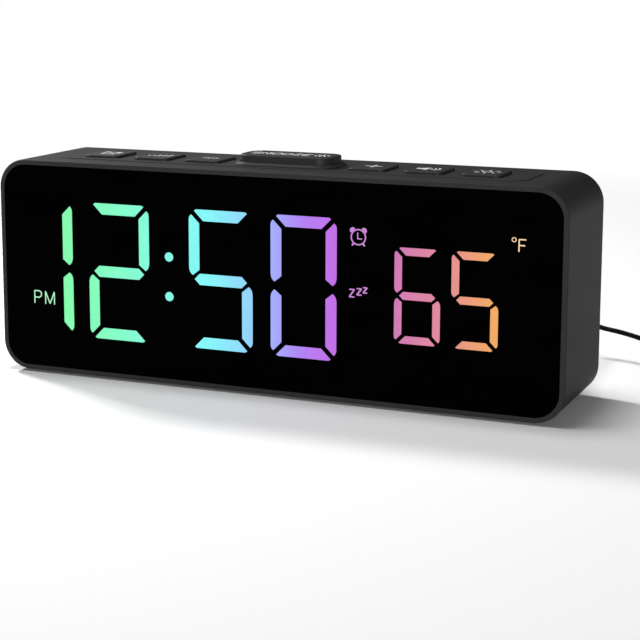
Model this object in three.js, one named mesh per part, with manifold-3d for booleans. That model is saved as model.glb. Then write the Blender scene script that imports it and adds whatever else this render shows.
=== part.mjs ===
// A bedside digital clock: a low box with a dark front lens, seven-segment light box,
// a raised strip of keys with a tall snooze bar on top, a rear cover with speaker,
// backup cell and power inlet, and its thin power lead wound up beside it.
// Millimetres. X runs along the front, Y from front to rear, Z up from the table.

import * as THREE from "three";
import { mergeVertices } from "three/addons/utils/BufferGeometryUtils.js";
import Module from "manifold-3d";

const wasm = await Module();
wasm.setup();

// Case
const CASE_WIDTH = 190;
const CASE_HEIGHT = 69.6;
const CASE_DEPTH = 42;
const CASE_CORNER = 9.45;
const CASE_WALL = 2.2;
const CASE_EDGE = 0.6;
const FOOT_HEIGHT = 0.7;

// Places and digits along the front are given for a case of this width and keep their share
const SHARE = CASE_WIDTH / 190;

// Clearances
const FIT = 0.3;
const SNUG = 0.2;
const SCREW_FIT = 0.15;
const OVERCUT = 0.01;

// Front lens and the ledge it sits on
const LENS_SIDE_MARGIN = 1.68;
const LENS_TOP_MARGIN = 1.77;
const LENS_CORNER = 7.8;
const LENS_THICKNESS = 2;
const LENS_EDGE = 0.15;
const LEDGE_THICKNESS = 1.5;
const LEDGE_SIDE = 7.2;
const LEDGE_TOP = 6;

// Digits: one large digit, and the small ones as a share of it
const DIGIT_WIDTH = 22 * SHARE;
const DIGIT_HEIGHT = 44.3 * SHARE;
const STROKE = 3.8 * SHARE;
const MITRE_SETBACK = 0.75 * SHARE;
const HOUR_RIGHT_EDGE = -40.05 * SHARE;
const DIGIT_PITCH = 27.9 * SHARE;
const MINUTE_LEFT_EDGE = -26.05 * SHARE;
const MINUTE_PITCH = 27.95 * SHARE;
const SMALL_SCALE = 0.66;
const SMALL_LEFT_EDGE = 42.35 * SHARE;
const SMALL_PITCH = 17.8 * SHARE;
const COLON_X = -33.05 * SHARE;
const COLON_SPREAD = 12.7 * SHARE;
const COLON_DIAMETER = 3 * SHARE;

// Windows of the small signs: places from the middle of the display
const SIGNS = [
  { x: -79 * SHARE, z: -10.2, width: 9.6 * SHARE, height: 5.4 },
  { x: 30.8 * SHARE, z: 16.8, width: 6.8 * SHARE, height: 7 },
  { x: 30.8 * SHARE, z: 0, width: 7 * SHARE, height: 4.8 },
  { x: 80.6 * SHARE, z: 17.6, width: 5.4 * SHARE, height: 5.2 },
];

// Light box and the board behind it
const DIFFUSER_THICKNESS = 0.4;
const LIGHT_BOX_WIDTH = CASE_WIDTH - 2 * 9.3;
const LIGHT_BOX_HEIGHT = CASE_HEIGHT - 2 * 5.8;
const LIGHT_BOX_DEPTH = 8;
const LIGHT_BOX_CORNER = 2;
const LAMP_LENGTH = 3.5;
const LAMP_WIDTH = 2.8;
const LAMP_HEIGHT = 1.4;
const LAMP_ROOM = 0.63;
const BOARD_THICKNESS = 1.6;
const BOARD_CORNER = 1.5;
const DISPLAY_BOARD_WIDTH = CASE_WIDTH - 2 * CASE_WALL - 3;
const DISPLAY_BOARD_HEIGHT = CASE_HEIGHT - 2 * 6.8;
const DISPLAY_SCREW_X = DISPLAY_BOARD_WIDTH / 2 - 2;
const DISPLAY_SCREW_Z = DISPLAY_BOARD_HEIGHT / 2 - 10;
const DISPLAY_POST_DIAMETER = 4.8;

// Key strip on top
const STRIP_WIDTH = CASE_WIDTH - 2 * 15.7;
const STRIP_DEPTH = CASE_DEPTH - 2 * 8.8;
const STRIP_CORNER = 5;
const STRIP_RISE = 0.25;
const STRIP_EDGE = { run: 0.3, rise: 0.2 };
const KEY_WIDTH = 12;
const KEY_DEPTH = 15;
const KEY_CORNER = 1.8;
const KEY_RISE = 0.8;
const KEY_EDGE = 0.25;
const FIRST_KEY_X = 28 * SHARE;
const KEY_PITCH = 18.2 * SHARE;
const KEY_FLANGE = 1.1;
const KEY_FLANGE_THICKNESS = 1.2;
const KEY_TRAVEL = 0.4;
const STEM_DIAMETER = 4;
const STEM_LENGTH = 2;

// Snooze bar and its collar
const SNOOZE_WIDTH = 31.6;
const SNOOZE_DEPTH = 14.8;
const SNOOZE_CORNER = 5;
const SNOOZE_RISE = 3.5;
const SNOOZE_EDGE = 0.4;
const SNOOZE_TRAVEL = 0.6;
const COLLAR_SIDE = 1.4;
const COLLAR_FRONT = 2;
const COLLAR_STEP = 0.3;
const COLLAR_EDGE = { run: 1, rise: 0.7 };

// Key board and switches
const SWITCH_SIZE = 6;
const SWITCH_HEIGHT = 3.5;
const SWITCH_CORNER = 0.5;
const PLUNGER_DIAMETER = 3.4;
const PLUNGER_SHOWN = 1.2;
const PLUNGER_SUNK = 1.3;
const KEY_BOARD_DEPTH = 11.6;
const KEY_BOARD_OVERHANG = 3.6;
const KEY_BOSS_DIAMETER = 6;
const KEY_BOSS_X = 75.6 * SHARE;
const RIBBON_WIDTH = 12;
const RIBBON_THICKNESS = 0.3;

// Screws: shank and head diameters, head height and length under the head
const COVER_SCREW = { shank: 2.6, head: 5.4, headHeight: 1, length: 9.5 };
const BOARD_SCREW = { shank: 2, head: 4, headHeight: 1.3, length: 7 };
const SCREW_TIP = 0.6;
const HEAD_EDGE = 0.5;
const SCREW_SIDES = 10;

// Rear cover
const COVER_THICKNESS = 2.2;
const COVER_RECESS = 0.3;
const COVER_SKIN = 0.5;
const COVER_POST_DIAMETER = 6.4;
const COVER_POST_X = CASE_WIDTH / 2 - 11.5;
const COVER_POST_Z = CASE_HEIGHT / 2 - 8.8;
const RIB_THICKNESS = 1.6;

// Speaker behind its slots
const SPEAKER_X = -48 * SHARE;
const SPEAKER_DIAMETER = 28;
const SPEAKER_DEPTH = 5.2;
const SPEAKER_RING = 1.2;
const SPEAKER_RING_DEPTH = 4.4;
const GRILLE_DIAMETER = 23;
const SLOT_WIDTH = 1.4;
const SLOT_PITCH = 3.2;
const SLOT_COUNT = 7;

// Backup cell bay, its contacts and its door
const BAY_X = 8 * SHARE;
const BAY_WALL = 1.6;
const BAY_FLOOR = 1.4;
const CELL_DIAMETER = 20;
const CELL_THICKNESS = 3.2;
const CONTACT_THICKNESS = 0.3;
const CONTACT_WIDTH = 6;
const CONTACT_LENGTH = 14;
const DOOR_WIDTH = 26;
const DOOR_HEIGHT = 28;
const DOOR_THICKNESS = 1.6;
const DOOR_CORNER = 2;
const DOOR_FRAME_SIDE = 2;
const DOOR_FRAME_END = 2.5;
const FINGER_NOTCH = 10;
const FINGER_NOTCH_DEPTH = 1;
const LUG_WIDTH = 4;
const LUG_LENGTH = 1.1;
const LUG_THICKNESS = 0.8;
const LUG_SPREAD = 14;
const LUG_SWING = 0.5;
const LUG_HEADROOM = 2;

// Power inlet, plug, air slots and the temperature sensor behind them
const INLET_X = 62 * SHARE;
const INLET_Z = FOOT_HEIGHT + 18;
const JACK_WIDTH = 7.6;
const JACK_HEIGHT = 7;
const JACK_DEPTH = 10.6;
const NEST_DEPTH = 7.5;
const BARREL_DIAMETER = 3.5;
const BARREL_BORE = 1.6;
const BARREL_LENGTH = 9.5;
const BARREL_BORE_FLOOR = 1.5;
const PIN_DIAMETER = 0.9;
const GRIP_DIAMETER = 6.4;
const GRIP_LENGTH = 14;
const GRIP_POCKET = 0.6;
const RELIEF_LENGTH = 8;
const RELIEF_ROOT = 1;
const RELIEF_TIP = 0.35;
const VENT_X = 36 * SHARE;
const VENT_Z = FOOT_HEIGHT + 11.3;
const VENT_COUNT = 6;
const VENT_LENGTH = 8;
const SENSOR_BEAD = 3;
const SENSOR_LEAD = 0.7;
const SENSOR_SPREAD = 1.26;
const SENSOR_SET_BACK = 6;

// Feet
const FOOT_DIAMETER = 9;
const FOOT_SUNK = 0.5;
const FOOT_EDGE = 0.15;
const FOOT_X = CASE_WIDTH / 2 - 17;
const FOOT_Y = CASE_DEPTH / 2 - 8;

// Power lead: the free run's points are chosen along its route, the coil is wound by formula
const CORD_DIAMETER = 1.65;
const CORD_LIFT = 0.45;
const CORD_SIDES = 8;
const LEAD_STEPS = 42;
const TAIL_STEPS = 9;
const COIL_LAYERS = 4;
const LOOPS_PER_LAYER = 4;
const LOOP_STEPS = 24;
const COIL_SIDES = 6;
const COIL_MEAN_RADIUS = 7.65;
const COIL_GAP = 0.46;
const COIL_X = INLET_X + 83.7;
const TIE_WIDTH = 2.5;
const TIE_THICKNESS = 0.35;
const TIE_CORNER = 1;
const USB_GRIP = { width: 15.6, length: 19, height: 8, corner: 1.8, edge: 0.8 };
const USB_SHELL = { width: 12, length: 11.8, height: 4.5, corner: 0.6, wall: 0.35 };
const USB_TONGUE = 1.8;
const USB_LIFT = 0.05;
const USB_X = COIL_X + 18.9;

// Derived places
const FRONT = -CASE_DEPTH / 2;
const REAR = CASE_DEPTH / 2;
const CASE_TOP = FOOT_HEIGHT + CASE_HEIGHT;
const CASE_MIDDLE = FOOT_HEIGHT + CASE_HEIGHT / 2;
const INNER_TOP = CASE_TOP - CASE_WALL;
const LENS_REAR = FRONT + LENS_THICKNESS;
const LEDGE_FRONT = LENS_REAR + SNUG / 2;
const LEDGE_REAR = LEDGE_FRONT + LEDGE_THICKNESS;
const DIFFUSER_FRONT = LEDGE_REAR + SNUG;
const LIGHT_BOX_FRONT = DIFFUSER_FRONT + DIFFUSER_THICKNESS + SNUG;
const LIGHT_BOX_REAR = LIGHT_BOX_FRONT + LIGHT_BOX_DEPTH;
const DISPLAY_BOARD_FRONT = LIGHT_BOX_REAR + SNUG;
const DISPLAY_BOARD_REAR = DISPLAY_BOARD_FRONT + BOARD_THICKNESS;
const KEY_ROW_Y = DISPLAY_BOARD_REAR + FIT + KEY_BOARD_DEPTH / 2;
const COVER_REAR = REAR - COVER_RECESS;
const COVER_FRONT = COVER_REAR - COVER_THICKNESS;
const COVER_POST_REAR = COVER_FRONT - SNUG;
const COVER_POST_FRONT = DISPLAY_BOARD_REAR + BOARD_SCREW.headHeight + 4 * SNUG;
const BOSS_REAR = COVER_REAR - COVER_SKIN;
const COVER_SCREW_SEAT = COVER_REAR - COVER_SCREW.headHeight - FIT;
const STRIP_TOP = CASE_TOP + STRIP_RISE;
const FLANGE_TOP = INNER_TOP - FIT;
const FLANGE_BOTTOM = FLANGE_TOP - KEY_FLANGE_THICKNESS;
const PLUNGER_TOP = FLANGE_BOTTOM - STEM_LENGTH - SNUG;
const SWITCH_TOP = PLUNGER_TOP - PLUNGER_SHOWN;
const KEY_BOARD_TOP = SWITCH_TOP - SWITCH_HEIGHT - SNUG;
const KEY_BOARD_BOTTOM = KEY_BOARD_TOP - BOARD_THICKNESS;
const BAY_Z = CASE_MIDDLE;
const SPEAKER_Z = CASE_MIDDLE;
const PLUG_SEAT = COVER_REAR - COVER_SKIN;
const RELIEF_END = PLUG_SEAT + GRIP_LENGTH + RELIEF_LENGTH;
const CORD_RADIUS = CORD_DIAMETER / 2;
const COIL_PITCH = CORD_DIAMETER + COIL_GAP;
const COIL_OUTER = COIL_MEAN_RADIUS + (COIL_PITCH * LOOPS_PER_LAYER) / 2;
const COIL_LOOPS = COIL_LAYERS * LOOPS_PER_LAYER;
const COIL_BASE = CORD_LIFT + CORD_RADIUS;
const COIL_TOP = COIL_BASE + COIL_PITCH * (COIL_LAYERS - 1);
const COIL_Y = RELIEF_END - COIL_OUTER;
const USB_REAR = COIL_Y - 5;

// Materials
function plastic(colour, roughness) {
  return new THREE.MeshStandardMaterial({ color: colour, roughness, metalness: 0 });
}

function metal(colour, roughness) {
  return new THREE.MeshStandardMaterial({ color: colour, roughness, metalness: 1 });
}

const CHARCOAL = plastic(0x2b2b2c, 0.62);
const KEY_GREY = plastic(0x303031, 0.55);
const SMOKED = plastic(0x020203, 0.08);
const WHITE = plastic(0xe9e9e4, 0.5);
const MILKY = plastic(0xf4f4f0, 0.35);
const BOARD_GREEN = plastic(0x1f5a34, 0.45);
const BLACK = plastic(0x141414, 0.5);
const RUBBER = plastic(0x1a1a1a, 0.85);
const STEEL = metal(0xb9bbbd, 0.35);
const NICKEL = metal(0xcfcfca, 0.25);
const AMBER = plastic(0xc28a3a, 0.4);

// Solids and meshes
function solid(geometry) {
  const bare = geometry.clone();
  bare.deleteAttribute("normal");
  bare.deleteAttribute("uv");
  const merged = mergeVertices(bare, 1e-4);
  return new wasm.Manifold(
    new wasm.Mesh({
      numProp: 3,
      vertProperties: new Float32Array(merged.attributes.position.array),
      triVerts: new Uint32Array(merged.index.array),
    }),
  );
}

function geometryOf(body) {
  const data = body.getMesh();
  const geometry = new THREE.BufferGeometry();
  geometry.setAttribute("position", new THREE.BufferAttribute(data.vertProperties, 3));
  geometry.setIndex(new THREE.BufferAttribute(data.triVerts, 1));
  return geometry;
}

const clock = new THREE.Group();

function add(name, body, material) {
  const mesh = new THREE.Mesh(geometryOf(body), material);
  mesh.name = name;
  clock.add(mesh);
}

function cut(body, tools) {
  return tools.reduce((rest, tool) => rest.subtract(tool), body);
}

function join(bodies) {
  return bodies.reduce((whole, body) => whole.add(body));
}

// Outlines
function roundedRect(width, height, radius, x = 0, y = 0) {
  const shape = new THREE.Shape();
  const w = width / 2 - radius;
  const h = height / 2 - radius;
  shape.absarc(x + w, y + h, radius, 0, Math.PI / 2);
  shape.absarc(x - w, y + h, radius, Math.PI / 2, Math.PI);
  shape.absarc(x - w, y - h, radius, Math.PI, 1.5 * Math.PI);
  shape.absarc(x + w, y - h, radius, 1.5 * Math.PI, 2 * Math.PI);
  return shape;
}

function disc(diameter, x = 0, y = 0) {
  return new THREE.Shape().absarc(x, y, diameter / 2, 0, 2 * Math.PI);
}

function outline(points) {
  return new THREE.Shape(points.map(([x, y]) => new THREE.Vector2(x, y)));
}

// An outline pushed up from z0 to z1, with its end edges taken off by the bevel. Each arc gets
// curve sides, which is twice the segments asked for
function plateZ(shape, z0, z1, { curve = 4, bevel = 0, bevelHeight = bevel, steps = 1 } = {}) {
  const geometry = new THREE.ExtrudeGeometry(shape, {
    depth: z1 - z0 - 2 * bevelHeight,
    curveSegments: curve / 2,
    bevelEnabled: bevel > 0,
    bevelSize: bevel,
    bevelOffset: -bevel,
    bevelThickness: bevelHeight,
    bevelSegments: steps,
  });
  geometry.translate(0, 0, z0 + bevelHeight);
  return geometry;
}

// The same with the outline seen from the front, pushed from y0 back to y1
function plateY(shape, y0, y1, options) {
  const geometry = plateZ(shape, 0, y1 - y0, options);
  geometry.rotateX(Math.PI / 2);
  geometry.translate(0, y1, 0);
  return geometry;
}

function box(width, depth, height, x, y, z) {
  const geometry = new THREE.BoxGeometry(width, depth, height);
  geometry.translate(x, y, z);
  return solid(geometry);
}

// A turned piece about Y; profile points are [radius, y], from one end of the axis to the other
function turnedY(profile, sides, x, y, z) {
  const points = profile.map(([r, h]) => new THREE.Vector2(r, h));
  const geometry = new THREE.LatheGeometry(points, sides);
  geometry.translate(x, y, z);
  return solid(geometry);
}

// The same about Z
function turnedZ(profile, sides, x, y, z) {
  const points = profile.map(([r, h]) => new THREE.Vector2(r, h));
  const geometry = new THREE.LatheGeometry(points, sides);
  geometry.rotateX(Math.PI / 2);
  geometry.translate(x, y, z);
  return solid(geometry);
}

function rodY(diameter, y0, y1, x, z, sides = 16) {
  return solid(plateY(disc(diameter, x, z), y0, y1, { curve: sides }));
}

function rodZ(diameter, z0, z1, x, y, sides = 16) {
  return solid(plateZ(disc(diameter, x, y), z0, z1, { curve: sides }));
}

// A straight-sided loft between two outlines with as many points each, both seen from the front
function loftY(frontPoints, y0, rearPoints, y1) {
  const count = frontPoints.length;
  const positions = [];
  frontPoints.forEach(([x, z]) => positions.push(x, y0, z));
  rearPoints.forEach(([x, z]) => positions.push(x, y1, z));
  const faces = THREE.ShapeUtils.triangulateShape(
    frontPoints.map(([x, z]) => new THREE.Vector2(x, z)),
    [],
  );
  const index = [];
  faces.forEach(([a, b, c]) => index.push(a, b, c, c + count, b + count, a + count));
  for (let i = 0; i < count; i += 1) {
    const j = (i + 1) % count;
    index.push(i, i + count, j + count, i, j + count, j);
  }
  const geometry = new THREE.BufferGeometry();
  geometry.setAttribute("position", new THREE.Float32BufferAttribute(positions, 3));
  geometry.setIndex(index);
  return solid(geometry);
}

// The seven segments of a digit as outlines about the digit's middle
function digitSegments() {
  const halfWidth = DIGIT_WIDTH / 2;
  const halfHeight = DIGIT_HEIGHT / 2;
  const cornerCut = 0.24 * STROKE;
  const cornerLength = 0.75 * STROKE;
  const tipInset = 0.36 * STROKE;
  const tipLift = 0.3 * STROKE;
  const middleEnd = 0.8 * STROKE;
  const barX = halfWidth - STROKE / 2;

  const bar = (side) => {
    const outer = side * halfHeight;
    const inner = side * (halfHeight - STROKE);
    const shoulder = side * (halfHeight - cornerCut);
    const innerX = halfWidth - STROKE - MITRE_SETBACK;
    const tipX = halfWidth - cornerCut - MITRE_SETBACK;
    const outerX = halfWidth - cornerLength;
    return [
      [-innerX, inner],
      [innerX, inner],
      [tipX, shoulder],
      [outerX, outer],
      [-outerX, outer],
      [-tipX, shoulder],
    ];
  };

  const post = (side, up) => [
    [side * (halfWidth - STROKE), up * (halfHeight - STROKE - MITRE_SETBACK)],
    [side * (halfWidth - cornerCut), up * (halfHeight - cornerCut - MITRE_SETBACK)],
    [side * halfWidth, up * (halfHeight - cornerLength)],
    [side * halfWidth, up * middleEnd],
    [side * (halfWidth - tipInset), up * tipLift],
    [side * (halfWidth - STROKE), up * middleEnd],
  ];

  const middle = [
    [-(barX + MITRE_SETBACK / 2), 0],
    [-(barX + MITRE_SETBACK / 2) + STROKE / 2, -STROKE / 2],
    [barX + MITRE_SETBACK / 2 - STROKE / 2, -STROKE / 2],
    [barX + MITRE_SETBACK / 2, 0],
    [barX + MITRE_SETBACK / 2 - STROKE / 2, STROKE / 2],
    [-(barX + MITRE_SETBACK / 2) + STROKE / 2, STROKE / 2],
  ];

  return {
    a: { upright: false, points: bar(1) },
    b: { upright: true, points: post(1, 1) },
    c: { upright: true, points: post(1, -1) },
    d: { upright: false, points: bar(-1) },
    e: { upright: true, points: post(-1, -1) },
    f: { upright: true, points: post(-1, 1) },
    g: { upright: false, points: middle },
  };
}

function turnsLeft(points) {
  const area = THREE.ShapeUtils.area(points.map(([x, z]) => new THREE.Vector2(x, z)));
  return area > 0 ? points : [...points].reverse();
}

function rectangle(width, height) {
  const w = width / 2;
  const h = height / 2;
  return [
    [-w, -h],
    [w, -h],
    [w, h],
    [-w, h],
  ];
}

function polygon(diameter, sides) {
  return Array.from({ length: sides }, (_, i) => {
    const angle = (2 * Math.PI * (i + 0.5)) / sides;
    return [(diameter / 2) * Math.cos(angle), (diameter / 2) * Math.sin(angle)];
  });
}

// Every lit window of the display: its middle, its outline about that middle and its light's turn
function displayWindows() {
  const segments = digitSegments();
  const windows = [];

  const addDigit = (centreX, scale, letters) => {
    for (const letter of letters) {
      const { upright, points } = segments[letter];
      const xs = points.map(([x]) => x);
      const zs = points.map(([, z]) => z);
      const x = (Math.min(...xs) + Math.max(...xs)) / 2;
      const z = (Math.min(...zs) + Math.max(...zs)) / 2;
      windows.push({
        x: centreX + scale * x,
        z: CASE_MIDDLE + scale * z,
        upright,
        scale,
        points: turnsLeft(points.map(([px, pz]) => [scale * (px - x), scale * (pz - z)])),
      });
    }
  };

  const addWindow = (x, z, points) => {
    windows.push({ x, z, upright: false, scale: SMALL_SCALE, points });
  };

  const hourX = HOUR_RIGHT_EDGE - DIGIT_WIDTH / 2;
  const minuteX = MINUTE_LEFT_EDGE + DIGIT_WIDTH / 2;
  const smallX = SMALL_LEFT_EDGE + (SMALL_SCALE * DIGIT_WIDTH) / 2;
  addDigit(hourX - DIGIT_PITCH, 1, "bc");
  addDigit(hourX, 1, "abcdefg");
  addDigit(minuteX, 1, "abcdefg");
  addDigit(minuteX + MINUTE_PITCH, 1, "abcdefg");
  addDigit(smallX, SMALL_SCALE, "abcdefg");
  addDigit(smallX + SMALL_PITCH, SMALL_SCALE, "abcdefg");
  for (const side of [-1, 1]) {
    addWindow(COLON_X, CASE_MIDDLE + (side * COLON_SPREAD) / 2, polygon(COLON_DIAMETER, 8));
  }
  for (const { x, z, width, height } of SIGNS) {
    addWindow(x, CASE_MIDDLE + z, rectangle(width, height));
  }
  return windows;
}

const WINDOWS = displayWindows();

// The lamp of a window, as long as the window allows
function lampSize(window) {
  const long = LAMP_LENGTH * (window.scale < 1 ? SMALL_SCALE : 1);
  const short = LAMP_WIDTH * (window.scale < 1 ? SMALL_SCALE : 1);
  return window.upright ? [short, long] : [long, short];
}

function lensOutline(grow) {
  return roundedRect(
    CASE_WIDTH - 2 * LENS_SIDE_MARGIN + 2 * grow,
    CASE_HEIGHT - 2 * LENS_TOP_MARGIN + 2 * grow,
    LENS_CORNER + grow,
    0,
    CASE_MIDDLE,
  );
}

function cavityOutline(shrink) {
  return roundedRect(
    CASE_WIDTH - 2 * (CASE_WALL + shrink),
    CASE_HEIGHT - 2 * (CASE_WALL + shrink),
    CASE_CORNER - CASE_WALL - shrink,
    0,
    CASE_MIDDLE,
  );
}

const SIDES = [-1, 1];
const CORNERS = SIDES.flatMap((x) => SIDES.map((z) => [x, z]));

const KEY_SIZE = { width: KEY_WIDTH, depth: KEY_DEPTH, corner: KEY_CORNER, edge: KEY_EDGE };
const KEY_TOP = { top: STRIP_TOP + KEY_RISE, travel: KEY_TRAVEL, curve: 3 };
const KEYS = [
  { label: "alarm", x: -FIRST_KEY_X - 2 * KEY_PITCH },
  { label: "set", x: -FIRST_KEY_X - KEY_PITCH },
  { label: "minus", x: -FIRST_KEY_X },
  { label: "plus", x: FIRST_KEY_X },
  { label: "volume", x: FIRST_KEY_X + KEY_PITCH },
  { label: "brightness", x: FIRST_KEY_X + 2 * KEY_PITCH },
].map(({ label, x }) => ({ label, name: `key_${label}`, x, ...KEY_SIZE, ...KEY_TOP }));

const SNOOZE = {
  label: "snooze",
  name: "snooze_bar",
  x: 0,
  width: SNOOZE_WIDTH,
  depth: SNOOZE_DEPTH,
  corner: SNOOZE_CORNER,
  edge: SNOOZE_EDGE,
  top: CASE_TOP + SNOOZE_RISE,
  travel: SNOOZE_TRAVEL,
  curve: 5,
};
const PRESSED = [...KEYS, SNOOZE];

// Strip and collar that stand on the case top, reaching down into its wall
function topRaises() {
  const root = CASE_TOP - CASE_WALL / 2;
  const strip = roundedRect(STRIP_WIDTH, STRIP_DEPTH, STRIP_CORNER);
  const collar = roundedRect(
    SNOOZE_WIDTH + 2 * COLLAR_SIDE,
    SNOOZE_DEPTH + 2 * COLLAR_FRONT,
    SNOOZE_CORNER + COLLAR_SIDE,
    0,
    KEY_ROW_Y,
  );
  const collarTop = STRIP_TOP + COLLAR_STEP + COLLAR_EDGE.rise;
  return [
    solid(
      plateZ(strip, root, STRIP_TOP, { bevel: STRIP_EDGE.run, bevelHeight: STRIP_EDGE.rise }),
    ),
    solid(
      plateZ(collar, root, collarTop, {
        curve: 5,
        bevel: COLLAR_EDGE.run,
        bevelHeight: COLLAR_EDGE.rise,
      }),
    ),
  ];
}

function keyOpenings() {
  const low = INNER_TOP - 1;
  const high = CASE_TOP + SNOOZE_RISE;
  return PRESSED.map(({ width, depth, corner, curve, x }) => {
    const hole = roundedRect(width + 2 * FIT, depth + 2 * FIT, corner + FIT, x, KEY_ROW_Y);
    return solid(plateZ(hole, low, high, { curve }));
  });
}

// Posts inside the case: for the cover at the corners, for the display board at the sides and
// for the key board under the top
function casePosts() {
  const length = COVER_POST_REAR - COVER_POST_FRONT;
  const ribMiddle = (COVER_POST_FRONT + COVER_POST_REAR) / 2;
  const posts = [];
  for (const [sx, sz] of CORNERS) {
    const x = sx * COVER_POST_X;
    const z = CASE_MIDDLE + sz * COVER_POST_Z;
    const reachX = CASE_WIDTH / 2 - CASE_WALL / 2 - COVER_POST_X;
    const reachZ = CASE_HEIGHT / 2 - CASE_WALL / 2 - COVER_POST_Z;
    posts.push(rodY(COVER_POST_DIAMETER, COVER_POST_FRONT, COVER_POST_REAR, x, z, 12));
    posts.push(box(reachX, length, RIB_THICKNESS, x + (sx * reachX) / 2, ribMiddle, z));
    posts.push(box(RIB_THICKNESS, length, reachZ, x, ribMiddle, z + (sz * reachZ) / 2));

    const boardZ = CASE_MIDDLE + sz * DISPLAY_SCREW_Z;
    const boardX = sx * DISPLAY_SCREW_X;
    const boardRib = CASE_WIDTH / 2 - CASE_WALL / 2 - DISPLAY_SCREW_X;
    const postStart = LEDGE_REAR - LEDGE_THICKNESS / 2;
    const postEnd = DISPLAY_BOARD_FRONT - SNUG;
    posts.push(rodY(DISPLAY_POST_DIAMETER, postStart, postEnd, boardX, boardZ, 10));
    posts.push(
      box(
        boardRib,
        postEnd - postStart,
        RIB_THICKNESS,
        boardX + (sx * boardRib) / 2,
        (postStart + postEnd) / 2,
        boardZ,
      ),
    );
  }
  for (const side of SIDES) {
    posts.push(
      rodZ(
        KEY_BOSS_DIAMETER,
        KEY_BOARD_TOP + SNUG,
        INNER_TOP + CASE_WALL / 2,
        side * KEY_BOSS_X,
        KEY_ROW_Y,
        12,
      ),
    );
  }
  return posts;
}

function caseScrewHoles() {
  const holes = [];
  const coverHole = COVER_SCREW.shank + 2 * SCREW_FIT;
  const boardHole = BOARD_SCREW.shank + 2 * SCREW_FIT;
  for (const [sx, sz] of CORNERS) {
    const x = sx * COVER_POST_X;
    const z = CASE_MIDDLE + sz * COVER_POST_Z;
    holes.push(rodY(coverHole, COVER_FRONT - COVER_SCREW.length, REAR, x, z, 12));
    const boardX = sx * DISPLAY_SCREW_X;
    const boardZ = CASE_MIDDLE + sz * DISPLAY_SCREW_Z;
    const start = DISPLAY_BOARD_REAR - BOARD_SCREW.length - FIT;
    holes.push(rodY(boardHole, start, DISPLAY_BOARD_REAR, boardX, boardZ, 10));
  }
  for (const side of SIDES) {
    const end = KEY_BOARD_BOTTOM + BOARD_SCREW.length + FIT;
    holes.push(rodZ(boardHole, KEY_BOARD_BOTTOM, end, side * KEY_BOSS_X, KEY_ROW_Y, 10));
  }
  return holes;
}

function footRecesses() {
  return CORNERS.map(([sx, sy]) =>
    rodZ(
      FOOT_DIAMETER + 2 * FIT,
      FOOT_HEIGHT - 1,
      FOOT_HEIGHT + FOOT_SUNK,
      sx * FOOT_X,
      sy * FOOT_Y,
      20,
    ),
  );
}

function makeCase() {
  const skin = plateY(
    roundedRect(CASE_WIDTH, CASE_HEIGHT, CASE_CORNER, 0, CASE_MIDDLE),
    FRONT,
    REAR,
    { curve: 8, bevel: CASE_EDGE },
  );
  const ledge = roundedRect(
    CASE_WIDTH - 2 * (LENS_SIDE_MARGIN + LEDGE_SIDE),
    CASE_HEIGHT - 2 * (LENS_TOP_MARGIN + LEDGE_TOP),
    LENS_CORNER / 2,
    0,
    CASE_MIDDLE,
  );
  const hollow = [
    solid(plateY(lensOutline(SNUG / 2), FRONT - 1, LEDGE_FRONT, { curve: 8 })),
    solid(plateY(ledge, FRONT, LEDGE_REAR + 1)),
    solid(plateY(cavityOutline(0), LEDGE_REAR, REAR + 1, { curve: 8 })),
  ];
  const shell = cut(join([solid(skin), ...topRaises()]), hollow);
  const housing = cut(join([shell, ...casePosts()]), [
    ...keyOpenings(),
    ...caseScrewHoles(),
    ...footRecesses(),
  ]);
  add("case", housing, CHARCOAL);
}

function makeLens() {
  const lens = plateY(lensOutline(0), FRONT, LENS_REAR, { curve: 8, bevel: LENS_EDGE });
  add("front_lens", solid(lens), SMOKED);
}

function lightBoxOutline() {
  return roundedRect(LIGHT_BOX_WIDTH, LIGHT_BOX_HEIGHT, LIGHT_BOX_CORNER, 0, CASE_MIDDLE);
}

function makeDiffuser() {
  const sheet = lightBoxOutline();
  const rear = DIFFUSER_FRONT + DIFFUSER_THICKNESS;
  add("light_diffuser", solid(plateY(sheet, DIFFUSER_FRONT, rear)), MILKY);
}

// The light box: every window tapers from its outline in front to the lamp's well behind
function makeLightBox() {
  const block = solid(plateY(lightBoxOutline(), LIGHT_BOX_FRONT, LIGHT_BOX_REAR));
  const wells = WINDOWS.map((window) => {
    const { x, z, points } = window;
    const [lampX, lampZ] = lampSize(window);
    const xs = points.map(([px]) => px);
    const zs = points.map(([, pz]) => pz);
    const shrinkX = (lampX + 2 * LAMP_ROOM) / (Math.max(...xs) - Math.min(...xs));
    const shrinkZ = (lampZ + 2 * LAMP_ROOM) / (Math.max(...zs) - Math.min(...zs));
    const front = points.map(([px, pz]) => [x + px, z + pz]);
    const rear = points.map(([px, pz]) => [x + px * shrinkX, z + pz * shrinkZ]);
    return loftY(front, LIGHT_BOX_FRONT - OVERCUT, rear, LIGHT_BOX_REAR + OVERCUT);
  });
  add("light_box", cut(block, wells), WHITE);
}

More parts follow.
